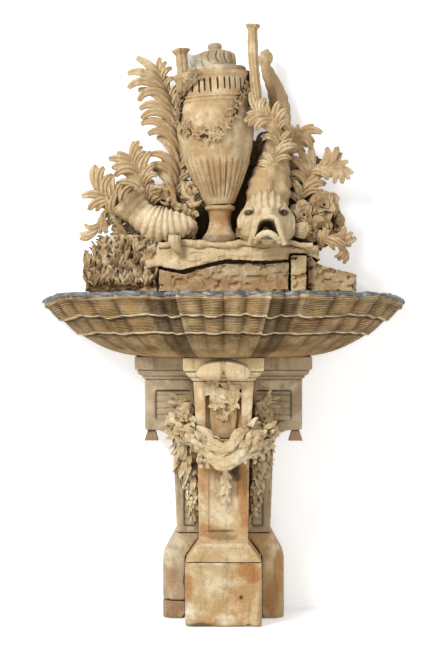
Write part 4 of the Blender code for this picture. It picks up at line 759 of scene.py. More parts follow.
@dataclass
class Pedestal:
    """Pier and wings: worn blocks, the wings' sunk courses and the shell over the capital."""

    shop: Workshop
    course_pitch: float = 0.0245
    sunk_depth: float = 0.01
    shell_half: float = 0.098
    shell_drop: float = 0.072
    shell_proud: float = 0.036
    pier_out: float = 0.395
    wing_out: float = 0.225
    blocks: tuple = (
        ("pier_base_block", Finish.WARM, Wear(0.005, 2, 0.0016, 11.0, 0.012)),
        ("pier_shaft", Finish.WARM, Wear(0.0039, 1, 0.0008, 9.0, 0.004)),
        ("niche_tablet", Finish.LEAF, Wear(0.003, 2, 0.0006, 12.0, 0.002)),
        ("wing_left", Finish.GREY, Wear(0.0044, 1, 0.0008, 9.0, 0.004)),
        ("wing_right", Finish.GREY, Wear(0.0044, 1, 0.0008, 9.0, 0.004)),
        ("wing_plinth_left", Finish.GREY, Wear(0.0042, 4, 0.0026, 9.0, 0.01)),
        ("wing_plinth_right", Finish.WARM, Wear(0.0042, 4, 0.0026, 9.0, 0.01)),
        ("plinth_course_left", Finish.RED, Wear(0.0034, 3, 0.003, 12.0, 0.012)),
        ("ear_pendant_left", Finish.RED, Wear(0.0022, 2, 0.0008, 20.0, 0.004)),
        ("ear_pendant_right", Finish.RED, Wear(0.0022, 2, 0.0008, 20.0, 0.004)),
    )

    moulding: tuple = (
        (0.0, 0.002), (0.005, 0.002), (0.0055, 0.008), (0.0105, 0.0085), (0.011, 0.005), (0.0125, 0.005),
        (0.0135, 0.011), (0.018, 0.0185), (0.023, 0.0235), (0.028, 0.026), (0.0325, 0.0265),
        (0.033, 0.0225), (0.035, 0.0225), (0.037, 0.0335), (0.04, 0.0355), (0.08, 0.0355),
        (0.084, 0.034), (0.0851, 0.03),
    )
    # The soot patches on the wings beside the pier, and the one on the shaft under the swag, are painted shade.
    # The rest darken the base's foot, a spot on it and two thin bands on the shaft.
    stains: dict = field(default_factory=lambda: {
        "pier_base_block": (
            ("rust", 0.092, 0.2, 0.048, 0.05, 0.75), ("rust", 0.05, 0.12, 0.06, 0.05, 0.3),
            ("rust", -0.128, 0.14, 0.016, 0.11, 0.65), ("lime_and_highlight", -0.125, 0.045, 0.026, 0.045, 1.0),
            ("lime_and_highlight", 0.0, 0.024, 0.04, 0.026, 0.9), ("lime_and_highlight", -0.03, 0.15, 0.07, 0.06, 0.35),
            ("soot_and_shade", -0.08, 0.006, 0.05, 0.01, 0.7), ("soot_and_shade", 0.063, 0.1066, 0.008, 0.008, 1.0),
            ("lime_and_highlight", 0.0, 0.23, 0.14, 0.006, 0.8)),
        "pier_shaft": (
            ("rust", 0.075, 0.48, 0.024, 0.15, 0.7), ("rust", 0.0, 0.6, 0.05, 0.08, 0.4),
            ("rust", -0.075, 0.53, 0.02, 0.08, 0.45), ("rust", -0.06, 0.345, 0.05, 0.03, 0.55),
            ("lime_and_highlight", 0.0, 0.44, 0.045, 0.08, 0.5), ("lime_and_highlight", 0.0, 0.292, 0.11, 0.007, 0.7),
            ("lime_and_highlight", 0.084, 0.78, 0.018, 0.09, 0.65), ("lime_and_highlight", -0.084, 0.78, 0.018, 0.09, 0.55),
            ("soot_and_shade", 0.0, 0.322, 0.06, 0.014, 0.45), ("lime_and_highlight", -0.08, 0.43, 0.018, 0.06, 0.5),
            ("soot_and_shade", 0.041, 0.556, 0.026, 0.032, 0.9), ("soot_and_shade", 0.0, 0.342, 0.056, 0.006, 0.7)),
        "wing_plinth_right": (
            ("rust", 0.205, 0.17, 0.02, 0.1, 0.6), ("rust", 0.175, 0.07, 0.03, 0.06, 0.55),
            ("lime_and_highlight", 0.19, 0.275, 0.04, 0.04, 0.5)),
        "wing_plinth_left": (
            ("rust", -0.19, 0.15, 0.03, 0.05, 0.4), ("lime_and_highlight", -0.19, 0.25, 0.06, 0.07, 0.55)),
        "wing_left": (("lime_and_highlight", -0.2, 0.86, 0.09, 0.03, 0.4), ("soot_and_shade", -0.13, 0.68, 0.04, 0.2, 0.4)),
        "wing_right": (("lime_and_highlight", 0.2, 0.86, 0.09, 0.03, 0.4), ("soot_and_shade", 0.13, 0.68, 0.04, 0.2, 0.4),
                       ("rust", 0.175, 0.46, 0.016, 0.06, 0.35)),
    })

    def build(self) -> None:
        """Make every piece of the pedestal."""
        for seed, (node, look, wear) in enumerate(self.blocks):
            self.shop.finish(node + "_worn", wear.apply(copied(node), seed * 7), look, nodes=(node,),
                             stains=self.stains.get(node, ()))
        self.moulded("pier_capital", -0.11, 0.11, self.pier_out, 1, 1, Finish.PALE)
        self.moulded("wing_cornice_left", -0.2925, -0.1103, self.wing_out, 1, -1, Finish.GREY)
        self.moulded("wing_cornice_right", 0.1103, 0.2925, self.wing_out, -1, 1, Finish.GREY)
        self.courses()
        self.capital_shell()

    def moulded(self, node: str, left: float, right: float, out: float, grow_left: int, grow_right: int,
                look: Finish) -> None:
        """Capital or cornice: the moulding's profile carried round three sides, flat on the wall.

        Args:
            node: the frame's node.
            left: lowest x under the moulding.
            right: highest x under it.
            out: its front.
            grow_left: 1 where the moulding steps out on the left, -1 where it follows the pier.
            grow_right: the same on the right.
            look: its finish.
        """
        rows = np.array(self.moulding)
        at = np.linspace(0, len(rows) - 1, (len(rows) - 1) * 4 + 1)
        rise = SHAFT_TOP + SEAT_GAP + np.interp(at, np.arange(len(rows)), rows[:, 0])[:, None]
        step = np.interp(at, np.arange(len(rows)), rows[:, 1])[:, None]
        turn = np.linspace(0, 1, 60)
        one = np.ones(60)
        share_x = np.concatenate([0 * one, turn, one, turn[::-1]])[None]
        share_out = np.concatenate([turn, one, turn[::-1], 0 * one])[None]
        low = left - grow_left * step
        high = right + grow_right * step
        grid = place(low + (high - low) * share_x, (out + step) * share_out, rise + 0 * share_x)
        chip = np.clip(fractal(grid, 26, 4, 4) - 0.25, 0, 1) * 0.008 + 0.0007 * noise(grid, 120, 2)
        middle = np.array(((left + right) / 2, 0.0, 0.0))
        inwards = unit((middle - grid) * (1, 0, 0)) * 0.5 + np.array((0.0, 0.5, 0.0))
        grid = grid + inwards * (chip * (share_out > 0.05))[..., None]
        self.shop.finish(node + "_moulded", Builder().add(grid), look, nodes=(node,), sharp=30)

    def courses(self) -> None:
        """Level courses in the wings' sunk fields: a wavy sheet whose depth drops at each joint.

        Each course is a half round, the root of 1 - t squared, t from -1 to 1 between joints.
        """
        top = SHAFT_TOP - 0.043
        for hand, side in (("left", -1), ("right", 1)):
            builder = Builder()
            paint = []
            for x0, x1, low, high in ((0.116, 0.25, top - 0.112, top), (0.104, 0.145, 0.342, 0.545)):
                rows = int((high - low) / 0.0016)
                cols = int((x1 - x0) / 0.003)
                z, x = np.meshgrid(np.linspace(low, high, rows), np.linspace(x0, x1, cols), indexing="ij")
                wave = 0.003 * noise(place(x * side, 0 * x, z), 16, 5)
                t = ((z + wave - low) / self.course_pitch % 1) * 2 - 1
                round_face = np.sqrt(np.clip(1 - t ** 2, 0, 1)) ** 0.5
                base = self.wing_out - 0.012 + FACE_GAP
                out = base + self.sunk_depth * (0.05 + 0.75 * round_face)
                out += 0.0016 * fractal(place(x * side, out, z), 45, 3, 8)
                border = np.minimum(np.minimum(x - x0, x1 - x), np.minimum(z - low, high - z))
                # Painted shade: darker in the grooves between the rounded courses and round the edge of the
                # sunk field.
                soot_and_shade = (0.85 * (1 - smoothstep(0.2, 0.75, round_face))
                        + 0.8 * (1 - smoothstep(0.0, 0.006, border)))
                paint += [np.clip(soot_and_shade, 0, 0.85).ravel(), np.zeros(2 * (rows + cols) - 4)]
                front = place(x * side, out, z)
                back = round_edge(front)
                back[:, 1] = WALL_Y - base
                builder.points += [front.reshape(-1, 3)]
                self.close_sheet(builder, front, back, side)
            self.shop.finish("courses_" + hand, builder, Finish.GREY, paint={"soot_and_shade": np.concatenate(paint)})

    @staticmethod
    def close_sheet(builder: Builder, front: Array, back: Array, side: int) -> None:
        """Join a sheet's edge to a flat back, as one closed body.

        Args:
            builder: holds the sheet's points already.
            front: the sheet's grid.
            back: points behind its edge, in order round it.
            side: -1 where the grid is mirrored.
        """
        rows, cols = front.shape[:2]
        start = builder.count
        quads = quad_faces(rows, cols) + start
        edge = round_edge(np.arange(rows * cols).reshape(rows, cols)) + start
        behind = np.arange(len(back)) + start + rows * cols
        walls = np.stack([edge, behind, np.roll(behind, -1), np.roll(edge, -1)], -1)
        faces = [*quads[:, ::side].tolist(), *walls[:, ::side].tolist(), behind[::-side].tolist()]
        builder.faces += faces
        builder.points.append(back)
        builder.count += rows * cols + len(back)

    def capital_shell(self) -> None:
        """Two full lobes under a lip: rings along the width, drawn in at the cleft between the lobes.

        A ring's half height is a root of 1 - |u|^2.6, u running from -1 to 1 across, less a bell at the
        middle; its middle sinks with |u|^1.5 and rises in the cleft.
        """
        across = np.linspace(-0.995, 0.995, 150)
        cleft = np.exp(-(across / 0.085) ** 2)
        size = np.sqrt(1 - np.abs(across) ** 2.6) * (1 - 0.42 * cleft) + 0.03
        middle = CAPITAL_TOP - 0.006 - 0.5 * self.shell_drop - 0.012 * np.abs(across) ** 1.5 + 0.012 * cleft
        turn = turns(72)[None]
        bulge = np.sin(turn) * size[:, None]
        lip = 0.1 * np.exp(-((turn - 2.3) / 0.16) ** 2) * (1 - cleft[:, None])
        face = self.pier_out + 0.034 + FACE_GAP
        out = face + self.shell_proud * np.clip(bulge, 0, 1) ** 0.75 * (1 + lip * 2)
        rise = np.cos(turn) * 0.5 * self.shell_drop * size[:, None] * -1
        grid = place(across[:, None] * self.shell_half, out, middle[:, None] + rise * (1 + lip))
        grid = wrinkled(grid, 0.0016, 40, 4, 3)
        grid[..., 1] = np.minimum(grid[..., 1], WALL_Y - face)
        self.shop.finish("capital_shell_lobes", Builder().add(grid), Finish.PALE, nodes=("capital_shell",))


@dataclass
class ShellBasin:
    """Fluted shell in three overlapping tiers, its bowl and the lead on its rim."""

    shop: Workshop
    foot_half: float = 0.335
    foot_reach: float = 0.445
    rim_half: float = 0.69
    rim_reach: float = 0.66
    rim_z: float = 1.205
    power: float = 0.55
    droop: float = 0.03
    tiers: tuple = (0.379, 0.647)
    lip: float = 0.014
    flute: float = 0.031
    recess: float = 0.04
    lobes: tuple = ((64.5, 6), (11.7, 2), (27.6, 4), (11.7, 2), (64.5, 6))
    ledge: float = 0.275
    cavity_half: float = 0.64
    cavity_reach: float = 0.61
    floor_z: float = 1.0153
    columns: int = 289
    rows: int = 296
    lead_thick: float = 0.0026
    lead_width: float = 0.026

    def __post_init__(self) -> None:
        """Work out the angle, relief and recess of each column."""
        degrees, counts = np.array(self.lobes).T
        spans = np.radians(degrees)
        self.phase = np.linspace(0, counts.sum(), self.columns)
        edges = np.concatenate([[0], np.cumsum(counts)])
        self.angle = np.interp(self.phase, edges, np.concatenate([[0], np.cumsum(spans)]))
        self.bulge = np.abs(np.sin(math.pi * self.phase)) ** 0.55
        inner = edges[1:-1]
        gap = np.abs(self.phase[:, None] - inner[None])
        self.ridge = (np.exp(-(gap / 0.16) ** 2) * np.array([0.6, 1.0, 1.0, 0.6])).sum(axis=1)
        low = smoothstep(0.02, 0.3, self.phase - edges[1]) * smoothstep(0.02, 0.16, edges[2] - self.phase)
        high = smoothstep(0.02, 0.16, self.phase - edges[3]) * smoothstep(0.02, 0.3, edges[4] - self.phase)
        self.sunk = np.clip(low + high, 0, 1)

    def factor(self, share: Array) -> Array:
        """Share of the plain half ellipse's radius that each column keeps at a share of the full fluting."""
        ends = smoothstep(0, 0.5, self.phase) * smoothstep(0, 0.5, self.phase[-1] - self.phase)
        cut = (self.flute * (1 - self.bulge ** 1.4) * (1 - self.ridge).clip(0, 1) * ends
               + self.recess * self.sunk)
        return 1 - cut * share + 0.012 * self.ridge * share ** 2

    def top(self, x: Array) -> Array:
        """Height of the rim, drooping near the tips and scalloped by the flutes."""
        sway = 0.003 * np.sin(self.phase * 2.3) + 0.0035 * self.ridge - 0.0045 * (1 - self.bulge)
        return self.rim_z - 0.002 - self.droop * np.abs(x / self.rim_half) ** 10 + sway

    def outside(self) -> Array:
        """Grid of the outer face from foot to rim, even along its section.

        Each tier's face stands out by its lip at its lower edge and falls back to the plain shell at
        the next edge; the edges wave with the flutes; fine growth rings ripple across every tier.

        Returns:
            Points, one row for each height.
        """
        fine = np.linspace(0, 1, 4000)
        radius = self.foot_half + (self.rim_half - self.foot_half) * fine ** self.power
        length = np.concatenate([[0], np.cumsum(np.hypot(np.diff(radius), np.diff(fine) * 0.2347))])
        even = np.linspace(0, length[-1], self.rows)
        height = np.interp(even, length, fine)[:, None]
        along = place(self.phase * 0.35, 0 * self.phase, 0 * self.phase)
        wave = 0.034 * (self.bulge - 0.5) + 0.026 * noise(along, 3, 4) + 0.014 * noise(along, 9, 5)
        share = height ** self.power
        step = np.zeros((self.rows, self.columns))
        under = np.zeros((self.rows, self.columns))
        # Lime on the ridges and the rim band, and on each tier's lip, where it is partly a painted highlight of
        # the lip catching the light.
        lime_and_highlight = 0.45 * self.ridge * smoothstep(0.1, 0.5, height) + 0.7 * smoothstep(0.9, 0.94, height)
        for index, edge in enumerate(self.tiers):
            above = height - (edge - wave * (0.6 + 0.4 * index))
            span = (self.tiers + (1.06,))[index + 1] - edge
            rise = smoothstep(-0.005, 0.004, above)
            fall = 1 - smoothstep(0.0, span, above)
            bead = 0.45 * np.exp(-((above - 0.014) / 0.012) ** 2)
            step += self.lip * rise * (fall + bead)
            lime_and_highlight = lime_and_highlight + 1.2 * np.exp(-((above - 0.012) / 0.012) ** 2)
            # Painted shadow under each tier's lip.
            under = under + np.exp(-((above + 0.016) / 0.016) ** 2)
        edge_bead = 0.011 * np.exp(-((height - 0.915) / 0.025) ** 2)
        spread = place(self.phase[None] * 0.3, height * 2, 0 * height)
        ripple = np.abs(np.sin(math.pi * (even[:, None] / 0.0078 + 0.8 * self.bulge + 1.1 * noise(spread, 2, 6)
                                          + 0.4 * noise(spread, 9, 7))))
        lined = smoothstep(0.02, 0.14, height) * (0.65 + 0.35 * noise(spread, 5, 8))
        step = step + edge_bead + 0.0112 * (ripple - 0.6) * lined
        factor = self.factor(share) + step * (1 - smoothstep(0.955, 0.985, height))
        # Painted shade: darker in the sunk lobes, the valleys of the growth rings and the flute grooves, under
        # each lip, and towards the foot.
        soot_and_shade = 0.48 * self.sunk + 1.1 * (1 - ripple) * lined + 0.8 * (1 - self.bulge) * share
        soot_and_shade = soot_and_shade + 0.2 * (1 - smoothstep(0.0, 0.25, height)) + 0.75 * under
        self.paint = {"lime_and_highlight": np.clip(lime_and_highlight, 0, 1), "soot_and_shade": np.clip(soot_and_shade * (1 - np.clip(lime_and_highlight, 0, 1)), 0, 0.88)}
        half = self.foot_half + (self.rim_half - self.foot_half) * share
        reach = self.foot_reach + (self.rim_reach - self.foot_reach) * share
        x = half * np.cos(self.angle) * factor
        out = np.maximum(reach * np.sin(self.angle) * factor, 0)
        keep = np.minimum(1, self.rim_half * 1.0035 / np.maximum(np.abs(x).max(axis=1, keepdims=True), 1e-6))
        z = BASIN_FOOT + height * (self.top(x * self.rim_half / half) - BASIN_FOOT)
        points = place(x * keep, out, z)
        worn = 0.0016 * fractal(points, 30, 4, 21)[..., None]
        points[..., :2] *= 1 - np.abs(worn) * 0.8
        points[:, [0, -1], 1] = WALL_Y
        return points

    def build(self) -> None:
        """Shell, then the lead over its rim."""
        outer = self.outside()
        rim = outer[-1]
        flat = rim.copy()
        flat[:, 1] = WALL_Y - flat[:, 1]
        rows = [place(flat[:, 0] * 0.955, flat[:, 1] * 0.955, (flat[:, 2] + self.rim_z) / 2)]
        rim_x = self.cavity_half * np.cos(self.angle)
        rim_out = self.cavity_reach * np.sin(self.angle)
        ledge = np.minimum(1, self.ledge / np.maximum(rim_out, 1e-6))
        waist = 0.55
        for step in np.linspace(0, 1, 24):
            t = 1 + (ledge - 1) * step
            deep = np.clip((t - waist) / (1 - waist), 0, 1) ** (1 / self.power)
            z = self.floor_z + (self.rim_z - 0.001 - self.floor_z) * deep
            rib = 0.003 * (1 - self.bulge) * np.sin(math.pi * step)
            rows.append(place(rim_x * t, rim_out * t, z + rib))
        for step in (1.0, 0.5, 0.0):
            rows.append(place(rim_x * ledge * step, rim_out * ledge * step, self.rim_z - 0.001 + 0 * rim_x))
        foot = [outer[0] * np.array((share, 1, 1)) for share in (0.0, 0.5)]
        for row, share in zip(foot, (0.0, 0.5)):
            row[:, 1] = WALL_Y - (WALL_Y - outer[0][:, 1]) * share
        grid = np.concatenate([np.stack(foot), outer, np.stack(rows)])
        mesh = self.slab(grid, 2)
        self.shop.finish("fluted_shell", mesh, Finish.SHELL, nodes=("shell_basin",), sharp=60)
        self.lead(rim)

    def slab(self, grid: Array, before: int) -> bpy.types.Mesh:
        """Close a grid whose first and last columns lie in the wall's plane by one face at each.

        Args:
            grid: points whose first and last rows run along the wall's line.
            before: rows of the grid before the painted ones.

        Returns:
            One closed mesh with its faces outwards.
        """
        rows, cols = grid.shape[:2]
        quads = quad_faces(rows, cols)
        ends = [(np.arange(rows) * cols).tolist(), (np.arange(rows) * cols + cols - 1)[::-1].tolist()]
        mesh = bpy.data.meshes.new("fluted_shell")
        mesh.from_pydata(grid.reshape(-1, 3).tolist(), [], quads.tolist() + ends)
        for name, values in self.paint.items():
            full = np.zeros((rows, cols))
            full[before:before + self.rows] = values
            mesh.attributes.new(name, "FLOAT", "POINT").data.foreach_set("value", full.ravel())
        merge(mesh, 2e-6)
        bm = bmesh.new()
        bm.from_mesh(mesh)
        bmesh.ops.recalc_face_normals(bm, faces=bm.faces)
        bm.to_mesh(mesh)
        bm.free()
        return mesh

    def lead(self, rim: Array) -> None:
        """Sheet lead folded over the rim: a thin folded ring carried along it, crumpled by noise."""
        flat = np.stack([rim[:, 0], WALL_Y - rim[:, 1]], axis=-1)
        thick, inner = self.lead_thick, self.lead_width
        fold = np.array(((0.0045, -0.0078), (0.004, -0.003), (0.001, 0.0035), (-inner * 0.5, 0.0045),
                         (-inner, 0.004), (-inner, 0.004 - thick), (-inner * 0.5, 0.0045 - thick),
                         (0.001 - thick, 0.001), (0.0038 - thick, -0.0078)))
        spots = flat[:, None] + unit(flat)[:, None] * fold[None, :, :1]
        fall = (self.rim_z - rim[:, None, 2]) * np.clip(-fold[:, 0] / inner, 0, 1) * 0.5
        z = rim[:, None, 2] + fold[None, :, 1] + fall
        grid = place(spots[..., 0], np.maximum(spots[..., 1], 0.0), z)
        crumple = 0.004 * fractal(grid, 46, 3, 12)
        grid[:, [0, 8], 2] += (0.005 * noise(grid[:, 0], 26, 13) + 0.0015)[:, None]
        grid[..., 2] += crumple
        grid[..., :2] *= 1 - np.abs(crumple[..., None]) * 1.2
        limit = CAD_BOX[1][0]
        grid[..., 0] = np.clip(grid[..., 0], -limit, limit)
        grid[..., 1] = np.maximum(grid[..., 1], CAD_BOX[0][1] + 0.0002)
        self.shop.finish("lead_dressing", Builder().add(grid), Finish.LEAD, nodes=("lead_rim",), sharp=30)


@dataclass
class Rockwork:
    """Course on the basin's ledge, the bed above the joint and the mounds behind the leaves."""

    shop: Workshop
    rocks: tuple = (
        ("rock_plinth_left", Finish.ROCK, Wear(0.0036, 1, 0.011, 24.0, 0.01, 0.0018, 0.014)),
        ("plinth_slab", Finish.ROCK, Wear(0.0037, 1, 0.008, 26.0, 0.013, 0.0018, 0.01)),
        ("rock_pillar", Finish.PALE, Wear(0.003, 1, 0.01, 34.0, 0.01, 0.0018, 0.014)),
        ("rock_ledge_right", Finish.ROCK, Wear(0.0036, 1, 0.012, 22.0, 0.01, 0.0018, 0.013)),
        ("rock_bed", Finish.PALE, Wear(0.0042, 3, 0.015, 30.0, 0.01, 0.0018, 0.006, (0.3, 1, 1.9))),
        ("seaweed_rock", Finish.ROCK, Wear(0.004, 1, 0.014, 26.0, 0.012, 0.0018, 0.016)),
        ("rock_mound_left", Finish.ROCK, Wear(0.005, 2, 0.012, 24.0, 0.006, 0.0012)),
        ("rock_mound_right", Finish.ROCK, Wear(0.005, 2, 0.012, 24.0, 0.006, 0.0012)),
    )

    joint: tuple = ((-0.505, 0.052), (-0.412, 0.06), (-0.3, 0.078), (-0.242, 0.092), (-0.155, 0.076),
                    (-0.087, 0.094), (0.01, 0.116), (0.17, 0.112), (0.244, 0.112), (0.33, 0.1))
    uprights: tuple = (-0.242, 0.245, 0.309)
    stains: dict = field(default_factory=lambda: {
        # The mounds are painted dark all over, as shade in the hollows behind the leaves.
        "rock_mound_left": (("soot_and_shade", 0.0, BED_TOP, 0.8, 0.35, 0.85),),
        "rock_mound_right": (("soot_and_shade", 0.0, BED_TOP, 0.8, 0.35, 0.85),),
        "plinth_slab": (("rust", -0.1, RIM_Z + 0.05, 0.16, 0.05, 0.34),
                        ("rust", 0.16, RIM_Z + 0.03, 0.1, 0.04, 0.3),
                        ("lime_and_highlight", 0.02, RIM_Z + 0.07, 0.12, 0.03, 0.4)),
    })
    cores: tuple = (
        ((0.06, 0.035, 0.0, 0.045), (0.072, 0.035, 0.12, 0.046), (0.106, 0.035, 0.26, 0.036),
         (0.13, 0.035, 0.39, 0.018)),
        ((-0.085, 0.035, 0.0, 0.042), (-0.09, 0.035, 0.12, 0.038), (-0.105, 0.03, 0.22, 0.018)),
    )

    def build(self) -> None:
        """Make every rock; the dark piece of mortar along the joints and of painted shade in the crevice under
        the bed and in the rock behind the vase's foot; and the crust on the bed's edge.
        """
        for seed, (node, look, wear) in enumerate(self.rocks):
            self.shop.finish(node + "_worn", wear.apply(copied(node), 90 + seed * 7), look, nodes=(node,),
                             stains=self.stains.get(node, ()))
        line = np.array(self.joint)
        x = np.linspace(line[0, 0], line[-1, 0], 200)
        seam = place(x, 0.2, RIM_Z + np.interp(x, line[:, 0], line[:, 1]))
        builder = Builder().add(wrinkled(swept(seam, circle(12), 0.022), 0.006, 30, 3, 6))
        for x in self.uprights:
            z = np.linspace(RIM_Z + 0.014, RIM_Z + 0.07, 20)
            builder.add(wrinkled(swept(place(x, 0.2, z), circle(12), 0.018), 0.005, 30, 3, 7))
        crevice = place(np.linspace(-0.245, 0.335, 120), 0.13, BED_TOP - 0.004)
        builder.add(wrinkled(swept(crevice, circle(14), 0.02), 0.006, 30, 3, 8))
        cap = place(np.linspace(0.242, 0.314, 30), 0.2, RIM_Z + 0.133)
        builder.add(wrinkled(swept(cap, circle(14), 0.016), 0.004, 30, 3, 8))
        for rows in self.cores:
            core = smooth_rows(rows, 60)
            lump = swept(line_at(core, BED_TOP), circle(40), core[:, 3])
            lump = wrinkled(lump, 0.014, 30, 4, 9)
            lump[..., 1] = np.minimum(lump[..., 1], WALL_Y - WALL_GAP)
            builder.add(lump)
        # The piece is painted nearly black: dark mortar along the joints, and painted shade in the crevice
        # under the bed and in the rock behind the vase.
        self.shop.finish("dark_joints_and_shade", builder, Finish.ROCK, paint={"soot_and_shade": np.full(builder.count, 0.92)})
        edge = place(np.linspace(-0.24, 0.33, 240), 0.254, BED_TOP - 0.006)
        edge[:, 2] += 0.006 * noise(edge, 13, 4)
        crust = swept(edge, circle(28), 0.012 + 0.006 * noise(edge, 22, 3))
        crust = wrinkled(crust, 0.01, 34, 4, 12)
        self.shop.finish("bed_crust", Builder().add(crust), Finish.PALE)


def leaflets(base: Array, along: Array, normal: Array, length: Array, width: Array, curl: Array,
             cup: float = 0.35, thick: float = 0.2, rows: int = 9, cols: int = 10) -> Array:
    """Tongue-shaped leaflets with a crease, each a closed tube.

    Each middle line is an arc: its length ahead is sin(curl t) / curl and its lift (1 - cos(curl t)) / curl.
    The half width is a power of a half sine of t; the edges rise by cup times the square of their share.

    Args:
        base: root of each leaflet.
        along: the way it grows.
        normal: the way its face looks.
        length: length of each.
        width: greatest half width of each.
        curl: turn from root to tip, towards the face where positive.
        cup: rise of the edges in half widths.
        thick: half thickness in half widths.
        rows: samples along.
        cols: samples round.

    Returns:
        Grids, one for each leaflet.
    """
    count = len(base)
    length, width, curl = (np.broadcast_to(value, count)[:, None, None, None]
                           for value in (length, width, curl))
    curl = np.where(np.abs(curl) < 0.02, 0.02, curl)
    along = unit(along)
    normal = unit(normal - np.sum(normal * along, axis=-1, keepdims=True) * along)
    side = np.cross(along, normal)
    base, along, normal, side = (value[:, None, None] for value in (base, along, normal, side))
    t = np.linspace(0, 1, rows)[None, :, None, None]
    turn = turns(cols)[None, None, :, None]
    half = width * (0.06 + np.sin(math.pi * (0.05 + 0.93 * t) ** 0.85)) ** 0.75
    share = np.cos(turn)
    lift = half * (cup * share ** 2 + thick * np.sin(turn) - 0.16 * (1 - np.abs(share)))
    ahead = along * np.sin(curl * t) + normal * (1 - np.cos(curl * t))
    across = normal * np.cos(curl * t) - along * np.sin(curl * t)
    return base + ahead * length / curl + side * half * share + across * lift


@dataclass(frozen=True)
class Frond:
    """Leaf of curling fingers on both sides of a bent spine; places are across, out and above the bed."""

    root: Colour
    bend: Colour
    tip: Colour
    left: float
    right: float
    lobes: int
    seed: int
    fingers: int = 4

    def fill(self, builder: Builder) -> None:
        """Add the spine, and the lobes of fingers on both sides of it and at its tip.

        A lobe's fingers leave the spine close together, run up beside it and bend outwards into
        hooks, the lowest one most; the middle ones are longest.

        Args:
            builder: takes the leaf's tubes.
        """
        rows = smooth_rows((self.root, self.bend, self.tip), 60)
        path = line_at(rows, BED_TOP)
        tangents, sides, fronts = frames_along(path, unit(np.array((0.0, -1.0, 0.15))))
        rng = np.random.default_rng(self.seed)
        spine = swept(path, circle(12), 0.0115 * (1.1 - np.linspace(0, 1, 60)) + 0.003)
        builder.add(wrinkled(spine, 0.002, 60, 3, self.seed))
        lobe, finger = np.divmod(np.arange((self.lobes + 1) * self.fingers), self.fingers)
        place_in_lobe = finger / (self.fingers - 1)
        for hand, reach in ((-1, self.left), (1, self.right)):
            share = (lobe + 0.25 * (hand + 1)) / (self.lobes + 0.5)
            at = share * 0.9 - 0.04 + 0.13 * place_in_lobe + rng.uniform(-0.01, 0.01, len(lobe))
            at = np.clip(at, 0, 0.96)
            spot = (at * 59).astype(int)
            outline = np.sin(math.pi * (0.2 + 0.66 * at)) ** 0.6
            long = (0.045 + reach * 1.25 * outline) * (1 - 0.35 * np.abs(place_in_lobe - 0.55))
            start = np.radians(26 - 16 * place_in_lobe + rng.uniform(-4, 4, len(lobe)))
            sweep = np.radians(112 - 74 * place_in_lobe + rng.uniform(-10, 10, len(lobe)))
            base = path[spot] + fronts[spot] * (0.01 - 0.014 * place_in_lobe)[:, None]
            builder.add(self.hooked(base, (tangents[spot], sides[spot] * hand, fronts[spot]),
                                    long * rng.uniform(0.84, 1.12, len(lobe)), start, sweep))

    @staticmethod
    def hooked(base: Array, frame: tuple[Array, Array, Array], long: Array, start: Array,
               sweep: Array) -> Array:
        """Grooved fingers whose heading turns from along the spine to its side, and rolls over at the tip.

        At t the heading's angle from the spine is start + sweep t^1.7, and its share to the front is
        0.42 - 1.1 t^2; points are its running sum. The half width is a root of a half sine.

        Args:
            base: root of each finger.
            frame: the ways along the spine, to its side and to its front.
            long: length of each.
            start: angle at the root.
            sweep: angle gained by the tip.

        Returns:
            Grids, one for each finger.
        """
        t = np.linspace(0, 1, 15)
        angle = (start[:, None] + sweep[:, None] * t ** 1.7)[..., None]
        along, side, front = (way[:, None] for way in frame)
        heading = unit(along * np.cos(angle) + side * np.sin(angle) + front * (0.42 - 1.1 * t ** 2)[:, None])
        path = base[:, None] + np.cumsum(heading, axis=1) * (long / 15)[:, None, None]
        across = unit(np.cross(heading, front))
        lift = np.cross(across, heading)
        taper = (0.1 + np.sin(math.pi * (0.16 + 0.76 * t))) ** 0.6
        half = np.clip(long * 0.145, 0.0095, 0.0165)[:, None] * taper
        ring = circle(12) * np.array((1.0, 0.62))
        ring[:, 1] -= 0.35 * np.exp(-(ring[:, 0] / 0.3) ** 2) * (ring[:, 1] > 0)
        offset = ring[:, :1] * across[:, :, None] + ring[:, 1:] * lift[:, :, None]
        return path[:, :, None] + offset * half[..., None, None]


